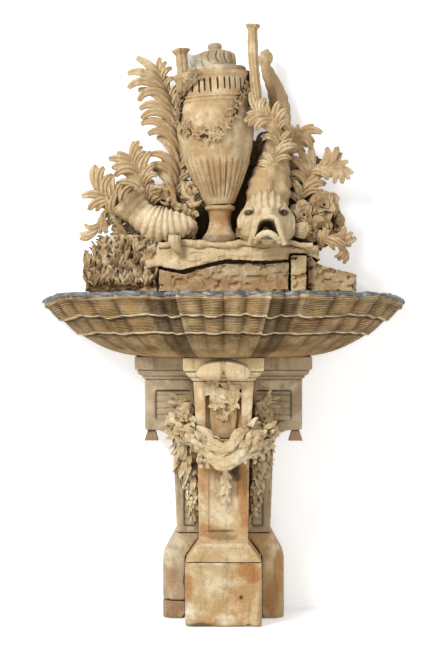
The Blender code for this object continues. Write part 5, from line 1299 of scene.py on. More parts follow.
@dataclass
class Leaves:
    """Fronds on both sides of the vase, foliage and flowers at the right, seaweed at the left."""

    shop: Workshop
    fronds: dict = field(default_factory=lambda: {
        "frond_left_tall": Frond((-0.185, 0.075, 0.14), (-0.165, 0.08, 0.42), (-0.25, 0.105, 0.655),
                                 0.13, 0.05, 4, 1),
        "frond_left_low": Frond((-0.265, 0.095, 0.06), (-0.3, 0.12, 0.22), (-0.345, 0.15, 0.325),
                                0.085, 0.06, 2, 2),
        "frond_left_fan": Frond((-0.29, 0.105, 0.045), (-0.38, 0.15, 0.12), (-0.475, 0.19, 0.205),
                                0.06, 0.08, 2, 3),
        "leaf_left_curled": Frond((-0.345, 0.17, -0.005), (-0.43, 0.19, 0.12), (-0.475, 0.21, 0.04),
                                  0.04, 0.04, 1, 4),
        "frond_right_leaning": Frond((0.19, 0.17, 0.27), (0.2, 0.24, 0.42), (0.12, 0.265, 0.485),
                                     0.055, 0.045, 2, 5),
        "frond_right_inner": Frond((0.235, 0.08, 0.15), (0.225, 0.095, 0.33), (0.285, 0.13, 0.42),
                                   0.045, 0.07, 2, 6),
        "frond_right_outer": Frond((0.29, 0.085, 0.14), (0.33, 0.12, 0.27), (0.425, 0.155, 0.285),
                                   0.065, 0.06, 2, 7),
        "foliage_right": Frond((0.36, 0.17, -0.005), (0.4, 0.205, 0.02), (0.44, 0.2, -0.012),
                               0.04, 0.045, 1, 8),
    })
    backs: dict = field(default_factory=lambda: {
        "back_leaf_right": Frond((0.105, 0.06, 0.01), (0.125, 0.05, 0.2), (0.128, 0.06, 0.4),
                                 0.022, 0.03, 3, 21),
        "back_leaf_left": Frond((-0.105, 0.045, 0.01), (-0.11, 0.04, 0.12), (-0.12, 0.05, 0.25),
                                0.03, 0.03, 2, 22),
        "back_leaf_outer": Frond((0.245, 0.06, 0.01), (0.3, 0.055, 0.14), (0.31, 0.06, 0.3),
                                 0.06, 0.06, 2, 23),
        "back_leaf_low": Frond((-0.24, 0.05, 0.01), (-0.29, 0.05, 0.12), (-0.35, 0.06, 0.22),
                               0.07, 0.07, 2, 24),
    })
    roses: tuple = (
        ((0.378, 0.175, 0.15), 0.045, (0.0, -1.0, 0.3)),
        ((0.3, 0.185, 0.108), 0.04, (-0.1, -1.0, 0.1)),
        ((0.432, 0.13, 0.085), 0.042, (0.9, -0.7, 0.1)),
        ((0.362, 0.195, 0.05), 0.04, (0.2, -1.0, -0.2)),
    )
    mass: tuple = ((0.318, 0.105, -0.001, 0.068), (0.345, 0.105, 0.06, 0.086), (0.362, 0.1, 0.13, 0.07),
                   (0.35, 0.095, 0.185, 0.03))

    def build(self) -> None:
        """Make every leaf."""
        for name, frond in self.fronds.items():
            builder = Builder()
            frond.fill(builder)
            self.shop.finish(name + "_fingers", builder, Finish.LEAF, nodes=(name,))
        # The back leaves are painted dark, as shade behind the vase and the fronds.
        for name, frond in self.backs.items():
            builder = Builder()
            frond.fill(builder)
            self.shop.finish(name, builder, Finish.LEAF, paint={"soot_and_shade": np.full(builder.count, 0.62)})
        self.flowers()
        self.seaweed()

    def flowers(self) -> None:
        """Ruffled roses on a lumpy mass: cupped petals in rings, each ring wider and more open."""
        builder = Builder()
        rows = smooth_rows(self.mass, 40)
        path = line_at(rows, BED_TOP)
        builder.add(wrinkled(swept(path, circle(60), rows[:, 3] * 0.86, flat=0.8), 0.018, 30, 4, 3))
        core = builder.count
        for index, (spot, radius, facing) in enumerate(self.roses):
            centre = place(spot[0], spot[1], BED_TOP + spot[2])
            self.rose(builder, centre, radius * 1.3, np.array(facing), index + 30)
        # The lumpy mass under the roses is painted dark, as shade between them.
        soot_and_shade = np.where(np.arange(builder.count) < core, 0.75, 0.0)
        self.shop.finish("rose_cluster", builder, Finish.LEAF, nodes=("flower_cluster",), paint={"soot_and_shade": soot_and_shade})

    @staticmethod
    def rose(builder: Builder, centre: Array, radius: float, facing: Array, seed: int) -> None:
        """Add one rose: rings of cupped petals round a bud."""
        rng = np.random.default_rng(seed)
        facing = unit(facing)
        across = unit(np.cross(facing, (0.0, 0.0, 1.0)))
        up = np.cross(across, facing)
        for ring, (count, open_out, size) in enumerate(((3, 0.3, 0.45), (4, 0.75, 0.78), (6, 1.2, 1.05))):
            turn = turns(count) + ring * 0.7 + rng.uniform(-0.2, 0.2, count)
            outward = across * np.cos(turn)[:, None] + up * np.sin(turn)[:, None]
            along = facing * math.cos(open_out) + outward * math.sin(open_out)
            base = centre - facing * radius * 0.35 + outward * radius * 0.06
            builder.add(leaflets(base, along, facing * math.sin(open_out) - outward * math.cos(open_out),
                                 radius * size * rng.uniform(0.9, 1.1, count), radius * 0.44 * size ** 0.5,
                                 -0.9, 0.65, 0.15, 9, 14))

    def seaweed(self) -> None:
        """Worm-like strands over the left rock: short tubes whose heading wanders smoothly."""
        builder = Builder()
        rng = np.random.default_rng(44)
        count = 430
        x = rng.uniform(-0.508, -0.25, count)
        top = np.interp(x, (-0.51, -0.44, -0.36, -0.25), (1.3, 1.375, 1.405, 1.395))
        z = 1.222 + (top - 1.222) * rng.uniform(0, 1, count)
        steps = 14
        turn = rng.normal(0.5 * math.pi, 0.34, (count, 1))
        turn = turn + rng.uniform(-1, 1, (count, 1)) * np.linspace(0, 1.3, steps)
        pace = rng.uniform(0.0026, 0.005, (count, 1))
        xs = x[:, None] + np.cumsum(np.cos(turn) * pace, axis=1)
        zs = z[:, None] + np.cumsum(np.sin(turn) * pace, axis=1)
        arch = np.sin(np.linspace(0, math.pi, steps))
        out = 0.219 + rng.uniform(0, 0.015, (count, 1)) + 0.011 * arch
        paths = place(np.clip(xs, -0.514, -0.246), out, np.clip(zs, 1.212, 1.415))
        for path, size in zip(paths, rng.uniform(0.003, 0.0062, count)):
            builder.add(wrinkled(swept(path, circle(9), size * (0.25 + arch ** 0.5)), 0.002, 90, 2, 4))
        # Painted shade: strands are darker where they lie low against the rock. Each strand also gets a random
        # darkness of its own.
        soot_and_shade = 0.85 * (1 - smoothstep(0.224, 0.244, WALL_Y - np.vstack(builder.points)[:, 1]))
        soot_and_shade = np.maximum(soot_and_shade, np.repeat(rng.uniform(-0.3, 0.75, count).clip(0), builder.count // count))
        self.shop.finish("seaweed_strands", builder, Finish.LEAF, paint={"soot_and_shade": soot_and_shade})


@dataclass
class Vase:
    """Vase with a waisted foot, gadrooned belly, slotted frieze, loose lid, two broken handles and ivy."""

    shop: Workshop
    height: float = 0.487
    foot_top: float = 1.5363
    foot_low: float = 1.3903
    foot_high: float = 1.5323
    profile: tuple = (
        (0.052, 0.0), (0.06, 0.03), (0.064, 0.06), (0.092, 0.18), (0.117, 0.31), (0.134, 0.42), (0.144, 0.55),
        (0.143, 0.69), (0.138, 0.768), (0.1435, 0.78), (0.1435, 0.791), (0.138, 0.796), (0.138, 0.802),
        (0.143, 0.808), (0.143, 0.816), (0.1365, 0.824), (0.137, 0.85),
        (0.137, 0.925), (0.137, 0.95), (0.1445, 0.975), (0.145, 1.0),
    )
    foot: tuple = ((0.07, 0.0), (0.07, 0.1), (0.05, 0.32), (0.041, 0.55), (0.042, 0.78), (0.046, 0.85),
                   (0.056, 0.9), (0.056, 0.96), (0.051, 1.0))
    lid: tuple = (
        (0.0988, -0.018), (0.0988, 0.0), (0.112, 0.0), (0.112, 0.013), (0.108, 0.0215), (0.082, 0.026),
        (0.0745, 0.03), (0.0745, 0.034), (0.0735, 0.06), (0.072, 0.07), (0.062, 0.079), (0.044, 0.086),
        (0.026, 0.09), (0.024, 0.094), (0.0255, 0.098), (0.026, 0.106), (0.022, 0.113), (0.012, 0.1175),
    )
    flutes: int = 30
    x: float = -0.013
    out: float = 0.165
    handles: tuple = (("handle_right", -18.0, 0.318), ("handle_left", 132.0, 0.268))
    garland: tuple = (
        (-12, 0.94, 0.01), (-28, 0.88, 0.019), (-44, 0.79, 0.019), (-62, 0.66, 0.018), (-80, 0.555, 0.019),
        (-96, 0.5, 0.018), (-114, 0.525, 0.018), (-134, 0.56, 0.017), (-150, 0.6, 0.01),
    )
    shoulder: tuple = ((-112, 0.985, 0.01), (-124, 0.92, 0.019), (-138, 0.84, 0.021), (-150, 0.72, 0.016),
                       (-156, 0.64, 0.009))

    def __post_init__(self) -> None:
        """Find the leaning frame that the vase, lid and handles share."""
        lean = Matrix.Rotation(math.radians(-3.5), 4, "Y")
        self.frame = Matrix.Translation(place(self.x, self.out, self.foot_top)) @ lean

    def build(self) -> None:
        """Make the vase and what belongs to it."""
        self.body()
        self.stem()
        self.cover()
        for name, turn, rise in self.handles:
            self.handle(name, turn, rise)
        self.ivy("ivy_garland", self.garland, 61, 34, 0.7, 0.05)
        self.ivy("ivy_shoulder", self.shoulder, 62, 22, 0.42, 0.45)

    @staticmethod
    def turned(profile: Array, turn: Array) -> Array:
        """Grid of a profile of radius and height turned about the axis; radii may differ by column."""
        radius, z = profile[..., :1], profile[..., 1:]
        return np.stack(np.broadcast_arrays(radius * np.cos(turn), radius * np.sin(turn), z), axis=-1)

    def body(self) -> None:
        """Hollow vase: gadroons swell by a root of a sine round the belly, slots cut the frieze."""
        rows = np.array(self.profile)
        share = np.concatenate([np.linspace(0, 0.78, 110), np.linspace(0.782, 1.0, 70)])
        radius = np.interp(share, rows[:, 1], rows[:, 0])
        turn = turns(400)[None]
        share_col = share[:, None]
        grid_radius = np.repeat(radius[:, None], turn.shape[1], axis=1)
        wave = np.abs(np.sin(turn * self.flutes / 2)) ** 0.6
        belly = smoothstep(0.02, 0.08, share_col) * (1 - smoothstep(0.3, 0.36, share_col))
        grid_radius += (wave - 0.62) * 0.0085 * belly
        grid_radius -= 0.0025 * np.abs(np.sin(turn * self.flutes * 1.5)) ** 4 * belly
        slot = smoothstep(0.55, 0.85, np.sin(turn * 34 + 1.3 * noise(place(turn * 3, 0, 0), 2, 5)))
        drip = 0.85 + 0.022 * noise(place(turn * 9, 0, 0), 2, 15)
        band = smoothstep(drip - 0.008, drip + 0.008, share_col) * (1 - smoothstep(0.935, 0.95, share_col))
        grid_radius -= 0.0085 * slot * band
        outer = np.stack([grid_radius * np.cos(turn), grid_radius * np.sin(turn),
                          np.broadcast_to(share_col * self.height, grid_radius.shape)], axis=-1)
        outer = wrinkled(outer, 0.0016, 26, 5, 2)
        top = self.height
        inside = np.array(((0.1375, top), (0.1165, top), (0.1165, top - 0.03), (0.123, top * 0.8),
                           (0.129, top * 0.6), (0.118, top * 0.4), (0.085, top * 0.2), (0.045, 0.045),
                           (0.01, 0.035)))
        grid = np.concatenate([outer, self.turned(inside, turn)])
        builder = Builder().add(grid).place(self.frame)
        # Painted shade in the frieze's slots and in the grooves between the gadroons.
        soot_and_shade = np.zeros(builder.count)
        soot_and_shade[:slot.size * len(share)] = (0.85 * slot * band + 0.35 * (1 - wave) * belly).ravel()
        self.shop.finish("gadrooned_vase", builder, Finish.LEAF, nodes=("vase_body",), paint={"soot_and_shade": soot_and_shade},
                         # The two lime patches are painted highlights where the belly faces the light; the rust
                         # patch is the clay's own.
                         stains=(("lime_and_highlight", -0.06, 1.835, 0.06, 0.05, 0.35),
                                 ("lime_and_highlight", 0.055, 1.77, 0.045, 0.07, 0.45),
                                 ("rust", -0.03, 1.64, 0.09, 0.06, 0.25)))

    def stem(self) -> None:
        """Foot: a flared disc, a waisted stem and a collar, turned and worn."""
        rows = smooth_rows(np.array(self.foot), 90)
        turn = turns(160)[None]
        z = self.foot_low + np.clip(rows[:, 1], 0, 1) * (self.foot_high - self.foot_low)
        ring = rows[:, :1] * (1 + 0.01 * np.sin(turn * 3 + 1)) * np.ones_like(turn)
        grid = place(self.x + ring * np.cos(turn), self.out + ring * np.sin(turn), z[:, None])
        grid = wrinkled(grid, 0.003, 24, 4, 9)
        grid[..., 2] = np.clip(grid[..., 2], self.foot_low, self.foot_high)
        self.shop.finish("waisted_foot", Builder().add(grid), Finish.LEAF, nodes=("vase_foot",),
                         # The foot is painted darker round the bottom of its disc.
                         stains=(("rust", -0.013, 1.487, 0.1, 0.03, 0.35),
                                 ("soot_and_shade", -0.013, 1.405, 0.12, 0.016, 0.45)))

    def cover(self) -> None:
        """Loose lid: C-shaped gadroons round a drum, a rounded knob, and a crusted lump on the flange."""
        rows = np.array(self.lid)
        fine = np.interp(np.linspace(0, len(rows) - 1, 130), np.arange(len(rows)), rows[:, 0])
        high = np.interp(np.linspace(0, len(rows) - 1, 130), np.arange(len(rows)), rows[:, 1])
        turn = turns(260)[None]
        band = smoothstep(0.03, 0.038, high) * (1 - smoothstep(0.075, 0.086, high))
        arch = np.sin(math.pi * np.clip((high - 0.03) / 0.056, 0, 1))[:, None]
        comma = np.abs(np.sin(turn * 7 + arch * 1.3)) ** 0.35
        groove = np.abs(np.sin(turn * 14 + arch * 2.4)) ** 0.35
        radius = fine[:, None] + band[:, None] * ((comma - 0.8) * 0.012 + (groove - 0.8) * 0.006)
        grid = np.stack([radius * np.cos(turn), radius * np.sin(turn),
                         np.broadcast_to(high[:, None], radius.shape)], axis=-1)
        grid = wrinkled(grid, 0.0018, 34, 4, 5)
        grid[..., 2] = np.clip(grid[..., 2], -0.018, 0.118)
        seat = self.frame @ Matrix.Translation((0.016, 0.0, self.height + SEAT_GAP))
        self.shop.finish("gadrooned_lid", Builder().add(grid).place(seat), Finish.GREY, LID, ("vase_lid",),
                         stains=(("lime_and_highlight", -0.05, 2.04, 0.05, 0.03, 0.8),))
        lump = smooth_rows(((-0.07, -0.05, 0.012, 0.022), (-0.07, -0.05, 0.026, 0.027),
                            (-0.064, -0.046, 0.05, 0.025), (-0.058, -0.042, 0.068, 0.012)), 60)
        lump = wrinkled(swept(lump[:, :3], circle(60, 0.8), lump[:, 3], flat=0.8), 0.011, 46, 4, 18)
        self.shop.finish("lid_crust", Builder().add(lump).place(seat), Finish.PLASTER, LID)

    @staticmethod
    def pebbles(spots: Array, radii: Array, seed: int) -> Array:
        """Rough round lumps: spheres whose radius swells by a noise of the place."""
        polar = np.linspace(0.12, math.pi - 0.12, 8)[None, :, None]
        turn = turns(12)[None, None]
        ball = np.stack(np.broadcast_arrays(np.sin(polar) * np.cos(turn), np.sin(polar) * np.sin(turn),
                                            np.cos(polar)), axis=-1)
        grids = spots[:, None, None] + ball * radii[:, None, None, None]
        swell = 1 + 0.35 * noise(grids, 90, seed)[..., None]
        return spots[:, None, None] + (grids - spots[:, None, None]) * swell

    def handle(self, name: str, turn: float, rise: float) -> None:
        """Broken handle: a fluted bar that leaves the belly, stands up and flares where it broke."""
        angle = math.radians(turn)
        away = np.array((math.cos(angle), math.sin(angle), 0.0))
        side = np.array((-math.sin(angle), math.cos(angle), 0.0))
        shoulder = 0.3409
        stops = ((0.135, shoulder - 0.01), (0.16, shoulder + 0.004), (0.168, shoulder + 0.04),
                 (0.165, shoulder + 0.12), (0.164, shoulder + 0.2), (0.167, shoulder + rise - 0.03),
                 (0.17, shoulder + rise - 0.002))
        if name == "handle_left":
            stops = tuple(stop for stop in stops if stop[1] < shoulder + rise - 0.02) + (stops[-1],)
        path = smooth_rows(stops, 70)
        centre = away * path[:, :1] + np.array((0.0, 0.0, 1.0)) * path[:, 1:]
        t = np.linspace(0, 1, len(centre))
        flare = 1.04 + 0.52 * smoothstep(0.84, 0.97, t) + 0.12 * smoothstep(0.12, 0.0, t)
        ring = circle(48, 0.62)
        flute = 1 - 0.16 * np.abs(np.sin(turns(48) * 4)) ** 2
        wide = 0.0215 * flare[:, None, None] * (ring * flute[:, None])[None]
        tangents = unit(np.gradient(centre, axis=0))
        back = np.cross(tangents, side)
        grid = centre[:, None] + wide[..., :1] * side + wide[..., 1:] * back[:, None] * 0.8
        grid = wrinkled(grid, 0.004, 34, 4, int(turn) + 200)
        self.shop.finish(name + "_bar", Builder().add(grid).place(self.frame), Finish.LEAF, nodes=(name,))

    def ivy(self, name: str, rows: tuple, seed: int, count: int, wide: float, dark: float) -> None:
        """Spray over the belly: a thin stem on the vase's face, and star-like sprigs along it.

        Args:
            name: the frame's node.
            rows: turn in degrees, share of the vase's height and half width along the stem.
            seed: picks one of many patterns.
            count: number of sprigs.
            wide: the stem's share of its half width.
            dark: soot on the leaves.
        """
        fine = smooth_rows(rows, 80)
        profile = np.array(self.profile)
        rng = np.random.default_rng(seed)

        def on_face(turn: Array, share: Array, proud: float) -> tuple[Array, Array]:
            """Points that stand proud of the vase at a turn and a share of its height, and the way out."""
            radius = np.interp(share, profile[:, 1], profile[:, 0]) + proud
            away = np.stack([np.cos(turn), np.sin(turn), 0 * turn], axis=-1)
            return away * radius[:, None] + np.array((0.0, 0.0, self.height)) * share[:, None], away

        path, away = on_face(np.radians(fine[:, 0]), fine[:, 1], 0.004)
        stem = swept(path, circle(16), fine[:, 2] * wide, away, 0.28)
        builder = Builder().add(wrinkled(stem, 0.006, 60, 3, seed))
        under = builder.count
        at = np.linspace(1, 78, count).astype(int)
        turn = np.radians(fine[at, 0] + rng.uniform(-5.5, 5.5, count))
        base, away = on_face(turn, np.clip(fine[at, 1] + rng.uniform(-0.032, 0.032, count), 0.3, 0.985), 0.005)
        across = np.stack([-np.sin(turn), np.cos(turn), 0 * turn], axis=-1)
        for ray in range(7):
            spin = (ray + rng.uniform(-0.3, 0.3, (count, 1))) * 2 * math.pi / 7 + rng.uniform(0, 6)
            along = across * np.cos(spin) + np.cross(away, across) * np.sin(spin) + away * 0.55
            long = rng.uniform(0.016, 0.029, count)
            builder.add(leaflets(base, along, away, long, long * 0.2, rng.uniform(-1.5, 0.0, count), 0.3, 0.28,
                                 8, 8))
        builder.place(self.frame)
        soot_and_shade = np.where(np.arange(builder.count) < under, 0.95, dark)
        self.shop.finish(name + "_leaves", builder, Finish.LEAF, nodes=(name,), paint={"soot_and_shade": soot_and_shade})


@dataclass
class SeaCreatures:
    """Dolphin, conch, coral and the small shell."""

    shop: Workshop
    head_x: float = 0.158
    head: tuple = (
        (0.13, 0.062, 0.075, 0.105), (0.165, 0.086, 0.092, 0.1), (0.205, 0.101, 0.1, 0.096),
        (0.245, 0.102, 0.1, 0.09), (0.28, 0.088, 0.088, 0.08), (0.312, 0.071, 0.072, 0.068),
        (0.338, 0.057, 0.056, 0.056), (0.352, 0.047, 0.042, 0.05),
    )
    jaw: tuple = ((0.266, 0.022, 0.014), (0.285, 0.034, 0.022), (0.31, 0.042, 0.03), (0.332, 0.04, 0.034),
                  (0.346, 0.028, 0.02))
    body_rows: tuple = (
        (0.158, 0.15, 0.115, 0.074), (0.17, 0.15, 0.2, 0.082), (0.185, 0.125, 0.285, 0.066),
        (0.205, 0.085, 0.39, 0.046), (0.215, 0.07, 0.49, 0.04), (0.205, 0.065, 0.565, 0.036),
        (0.175, 0.07, 0.64, 0.026), (0.155, 0.075, 0.69, 0.016),
    )
    conch_rows: tuple = (
        (-0.098, 0.225, 0.072, 0.003), (-0.112, 0.225, 0.071, 0.02), (-0.135, 0.225, 0.069, 0.036),
        (-0.165, 0.225, 0.066, 0.05), (-0.2, 0.222, 0.064, 0.063), (-0.24, 0.22, 0.068, 0.067),
        (-0.28, 0.218, 0.085, 0.06), (-0.31, 0.214, 0.108, 0.052), (-0.338, 0.21, 0.136, 0.062),
        (-0.358, 0.206, 0.158, 0.076),
    )
    tube: tuple = ((-0.178, 0.292, 0.026, 0.0225), (-0.18, 0.29, 0.004, 0.0215), (-0.172, 0.286, -0.02, 0.0165),
                   (-0.16, 0.276, -0.04, 0.008))
    coral_rows: tuple = (
        ((-0.122, 0.135, -0.008, 0.022), (-0.126, 0.15, 0.08, 0.018), (-0.118, 0.165, 0.16, 0.013),
         (-0.105, 0.18, 0.235, 0.008)),
        ((-0.124, 0.155, 0.11, 0.014), (-0.185, 0.18, 0.15, 0.012), (-0.262, 0.2, 0.2, 0.007)),
        ((-0.185, 0.18, 0.15, 0.013), (-0.192, 0.185, 0.185, 0.011), (-0.215, 0.19, 0.225, 0.006)),
        ((-0.12, 0.162, 0.15, 0.013), (-0.145, 0.175, 0.19, 0.011), (-0.15, 0.18, 0.232, 0.006)),
        ((-0.124, 0.15, 0.09, 0.013), (-0.105, 0.185, 0.11, 0.011), (-0.098, 0.215, 0.105, 0.006)),
    )

    def build(self) -> None:
        """Make every creature and shell."""
        self.dolphin_head()
        self.dolphin_body()
        self.conch()
        self.coral()

    def local(self, x: Array, out: Array, above: Array) -> Array:
        """Point at x across, out from the wall and above the bed."""
        return place(x, out, BED_TOP + above)

    def dolphin_head(self) -> None:
        """Head: oval sections through the brow, then lips that turn inside to a mouth narrow at its top.

        Ribs on the brow are a cosine across it; cheeks swell by a bell of the place; the mouth is a
        ring of four curved sides, lerped from the last section, that goes back into the head.
        """
        rows = smooth_rows(self.head, 90)
        turn = turns(128)[None]
        ring_x = np.sign(np.cos(turn)) * np.abs(np.cos(turn)) ** 0.8
        ring_z = np.sign(np.sin(turn)) * np.abs(np.sin(turn)) ** 0.8
        out, half, rise, middle = (rows[:, k:k + 1] for k in range(4))
        x = 0.94 * half * ring_x * (1 - 0.34 * ring_z)
        z = middle + rise * ring_z
        brow = smoothstep(0.088, 0.125, z) * smoothstep(0.205, 0.25, out) * (1 - smoothstep(0.315, 0.335, out))
        rib = np.cos(2 * math.pi * x / 0.0245) * smoothstep(0.086, 0.06, np.abs(x))
        grow = 1 + 0.085 * rib * brow
        snout = smoothstep(0.3, 0.352, out)
        flare = 1 + 0.22 * snout * smoothstep(0.055, 0.0, z)
        outer = self.local(self.head_x + x * flare * (1 + 0.02 * brow), out, middle + (z - middle) * grow)
        ridge = 0.009 * np.exp(-((z - 0.131) / 0.01) ** 2) * smoothstep(0.082, 0.06, np.abs(x))
        socket = 0.012 * np.exp(-((np.abs(x) - 0.06) / 0.02) ** 2 - ((z - 0.108) / 0.015) ** 2)
        nose = 0.013 * np.exp(-(x / 0.027) ** 4) * smoothstep(0.07, 0.085, z) * smoothstep(0.14, 0.125, z)
        outer[..., 1] -= (ridge - socket + nose) * smoothstep(0.235, 0.28, out)
        outer = wrinkled(outer, 0.0028, 30, 4, 71)
        lip = outer[-1]
        square_x, square_z = (np.sign(ring) * np.abs(ring) ** 0.5 for ring in (ring_x, ring_z))
        mouth_x = square_x * (0.043 - 0.019 * square_z)
        mouth_z = 0.041 + 0.037 * square_z
        deep = []
        depths = ((0.006, 0.35), (0.007, 0.75), (0.0, 1.0), (-0.02, 1.0), (-0.05, 0.9), (-0.085, 0.6))
        for back, share in depths:
            target = self.local(self.head_x + mouth_x * min(1, share + 0.15), 0.352 + back,
                                mouth_z + 0 * turn)[0]
            base = lip.copy()
            base[:, 1] = WALL_Y - 0.352 - back
            mix = min(1.0, share) if back >= 0 else 1.0
            ring = base * (1 - mix) + target * mix
            if back < 0:
                centre = self.local(self.head_x, 0.352 + back, 0.046)
                ring = centre + (target - centre) * share
            deep.append(ring)
        grid = np.concatenate([outer, np.stack(deep)])
        builder = Builder().add(grid)
        for hand in (-1, 1):
            eye = self.local(self.head_x + hand * 0.064, 0.29, 0.11)
            builder.add(Vase.pebbles(eye[None], np.array([0.0095]), 3))
            lid_turn = np.linspace(-0.3, math.pi + 0.3, 26)
            swing = np.cos(lid_turn)
            lift = np.sin(lid_turn)
            arc = eye + np.stack([0.013 * swing + 0.003 * hand, 0.012 * hand * swing - 0.004 - 0.003 * lift,
                                  0.002 + lift * 0.01 - hand * swing * 0.004], axis=-1)
            builder.add(swept(arc, circle(10), 0.0066 * np.sin(math.pi * np.linspace(0.1, 0.9, 26)) ** 0.5))
            fold = smooth_rows(((0.082, 0.215, 0.125), (0.098, 0.235, 0.085), (0.092, 0.262, 0.045),
                                (0.07, 0.29, 0.018)), 26)
            builder.add(swept(self.local(self.head_x + hand * fold[:, 0], fold[:, 1], fold[:, 2]), circle(8),
                              0.01 * np.sin(math.pi * np.linspace(0.08, 0.92, 26)) ** 0.6))
        tip = self.local(self.head_x, 0.352, 0.088)
        side = smooth_rows(((-0.064, -0.01, -0.098), (-0.046, 0.003, -0.045), (-0.031, 0.006, -0.006),
                            (0.0, 0.008, 0.001), (0.031, 0.006, -0.006), (0.046, 0.003, -0.045),
                            (0.064, -0.01, -0.098)), 60)
        lips = tip + side * np.array((1, -1, 1))
        builder.add(wrinkled(swept(lips, circle(16, 0.7), 0.0098), 0.0016, 60, 3, 5))
        fin = self.local(np.full(4, self.head_x - 0.084), 0.262, 0.036)
        along = np.stack([np.full(4, -1.0), np.full(4, -0.5), np.linspace(-0.5, 0.6, 4)], axis=-1)
        builder.add(leaflets(fin, along, FRONT, 0.042, 0.0085, 0.6))
        self.shop.finish("dolphin_face", builder, Finish.PALE, nodes=("dolphin_head",), stains=(
            # Painted shade in the eye sockets and in the open mouth; the lime patch on the brow is the head's
            # own.
            ("soot_and_shade", self.head_x - 0.064, BED_TOP + 0.108, 0.02, 0.012, 0.85),
            ("soot_and_shade", self.head_x + 0.064, BED_TOP + 0.108, 0.02, 0.012, 0.85),
            ("soot_and_shade", self.head_x, BED_TOP + 0.048, 0.028, 0.034, 0.9),
            ("lime_and_highlight", self.head_x, BED_TOP + 0.145, 0.05, 0.03, 0.5)))
        rows = smooth_rows(self.jaw, 30)
        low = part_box("dolphin_lower_jaw")
        middle = (low[0].z + low[1].z) / 2
        tongue = place(self.head_x + 0.75 * rows[:, 1:2] * ring_x, rows[:, :1],
                       middle - 0.008 + rows[:, 2:] * ring_z * 0.7)
        tongue = wrinkled(tongue, 0.0016, 44, 3, 7)
        arch = smooth_rows(((-0.046, 0.338, -0.001), (-0.026, 0.352, 0.02), (0.0, 0.358, 0.032),
                            (0.026, 0.352, 0.02), (0.046, 0.338, -0.001)), 50)
        lip = swept(self.local(self.head_x + arch[:, 0], arch[:, 1], arch[:, 2]), circle(20), 0.0125)
        builder = Builder().add(tongue).add(wrinkled(lip, 0.0016, 60, 3, 8))
        self.shop.finish("dolphin_tongue", builder, Finish.PALE, nodes=("dolphin_lower_jaw",))

    def dolphin_body(self) -> None:
        """Body and tail: a flattened tube with a back ridge and cross folds, then fluke and fins."""
        rows = smooth_rows(self.body_rows, 150)
        path = line_at(rows, BED_TOP)
        t = np.linspace(0, 1, 150)[:, None]
        turn = turns(72)[None]
        fold = 1 + 0.035 * np.sin(t * 90 + np.cos(turn) * 1.6) * smoothstep(0.03, 0.12, t)
        ridge = 1 + 0.16 * np.exp(-((turn - math.pi / 2) / 0.22) ** 2)
        grid = swept(path, circle(72), 1.0)
        grid = path[:, None] + (grid - path[:, None]) * (rows[:, 3:, None] * (fold * ridge)[..., None])
        grid = wrinkled(grid, 0.0036, 30, 4, 81)
        grid[..., 1] = np.minimum(grid[..., 1], WALL_Y - WALL_GAP)
        self.shop.finish("dolphin_back", Builder().add(grid), Finish.LEAF, nodes=("dolphin_body",))
        root = self.local(0.157, 0.074, 0.672)
        spread = np.array((-0.35, -0.1, 0.15, 0.4, 0.05))
        along = np.stack([spread, -0.15 + 0.2 * np.cos(9 * spread), 1 + 0 * spread], axis=-1)
        lobes = leaflets(np.repeat(root[None], 5, axis=0), along, FRONT,
                         0.08 - 0.06 * np.abs(spread - 0.1), 0.019, -0.7)
        self.shop.finish("tail_fluke", Builder().add(wrinkled(lobes, 0.004, 40, 3, 4)), Finish.LEAF,
                         nodes=("dolphin_fluke",))
        root = self.local(0.248, 0.212, 0.052)
        spread = np.linspace(-0.9, 0.25, 7)
        along = np.stack([1 + 0 * spread, 0 * spread - 0.35, spread], axis=-1)
        rays = leaflets(np.repeat(root[None], 7, axis=0), along, np.array((0.25, -1.0, 0.2)),
                        0.088 - 0.012 * np.abs(spread), 0.0125, 0.7)
        self.shop.finish("fin_rays", Builder().add(rays), Finish.PALE, nodes=("dolphin_fin_right",))

    def conch(self) -> None:
        """Conch: a tube from spire to lip with rings round it, its edge turned in to an open mouth.

        Its radius swells with a cosine of the distance along it plus the turn round it, so the rings
        wind; the lip flares on the side that looks up and left, in scallops.
        """
        rows = smooth_rows(self.conch_rows, 190)
        path = line_at(rows, BED_TOP)
        t = np.linspace(0, 1, 190)[:, None]
        turn = turns(96)[None]
        along = np.concatenate([[0], np.cumsum(np.linalg.norm(np.diff(path, axis=0), axis=1))])[:, None]
        ring = np.cos(2 * math.pi * along / 0.0235 + turn) * 0.5 + 0.5
        fine = np.cos(turn * 22 + along * 30) * 0.012 * smoothstep(0.55, 0.8, t)
        swell = 1 + 0.15 * (ring ** 0.6 - 0.6) * (1 - 0.7 * smoothstep(0.62, 0.8, t)) + fine
        lip = smoothstep(0.8, 1.0, t)
        swell = swell + lip * (0.1 * np.cos(turn * 5) + 0.06 * np.cos(turn - 2.2))
        _, sides, fronts = frames_along(path, FRONT)
        reach = rows[:, 3:, None] * swell[..., None]
        offset = np.cos(turn)[..., None] * sides[:, None] + np.sin(turn)[..., None] * fronts[:, None] * 0.92
        outer = wrinkled(path[:, None] + offset * reach, 0.0018, 44, 4, 33)
        inner = []
        for back, share in ((0, 0.9), (8, 0.84), (24, 0.74), (44, 0.58), (60, 0.3)):
            centre = path[-1 - back]
            inner.append(centre + (outer[-1 - back] - centre) * share)
        shell = Builder().add(np.concatenate([outer, np.stack(inner)]))
        self.shop.finish("ribbed_conch", shell, Finish.PALE, nodes=("conch_shell",), stains=(
            # The lime patch is the shell's own; the soot patch is painted shade in its mouth.
            ("lime_and_highlight", -0.19, BED_TOP + 0.085, 0.085, 0.05, 0.6),
            ("soot_and_shade", -0.335, BED_TOP + 0.15, 0.05, 0.05, 0.35)))
        rows = smooth_rows(self.tube, 44)
        path = line_at(rows, BED_TOP)
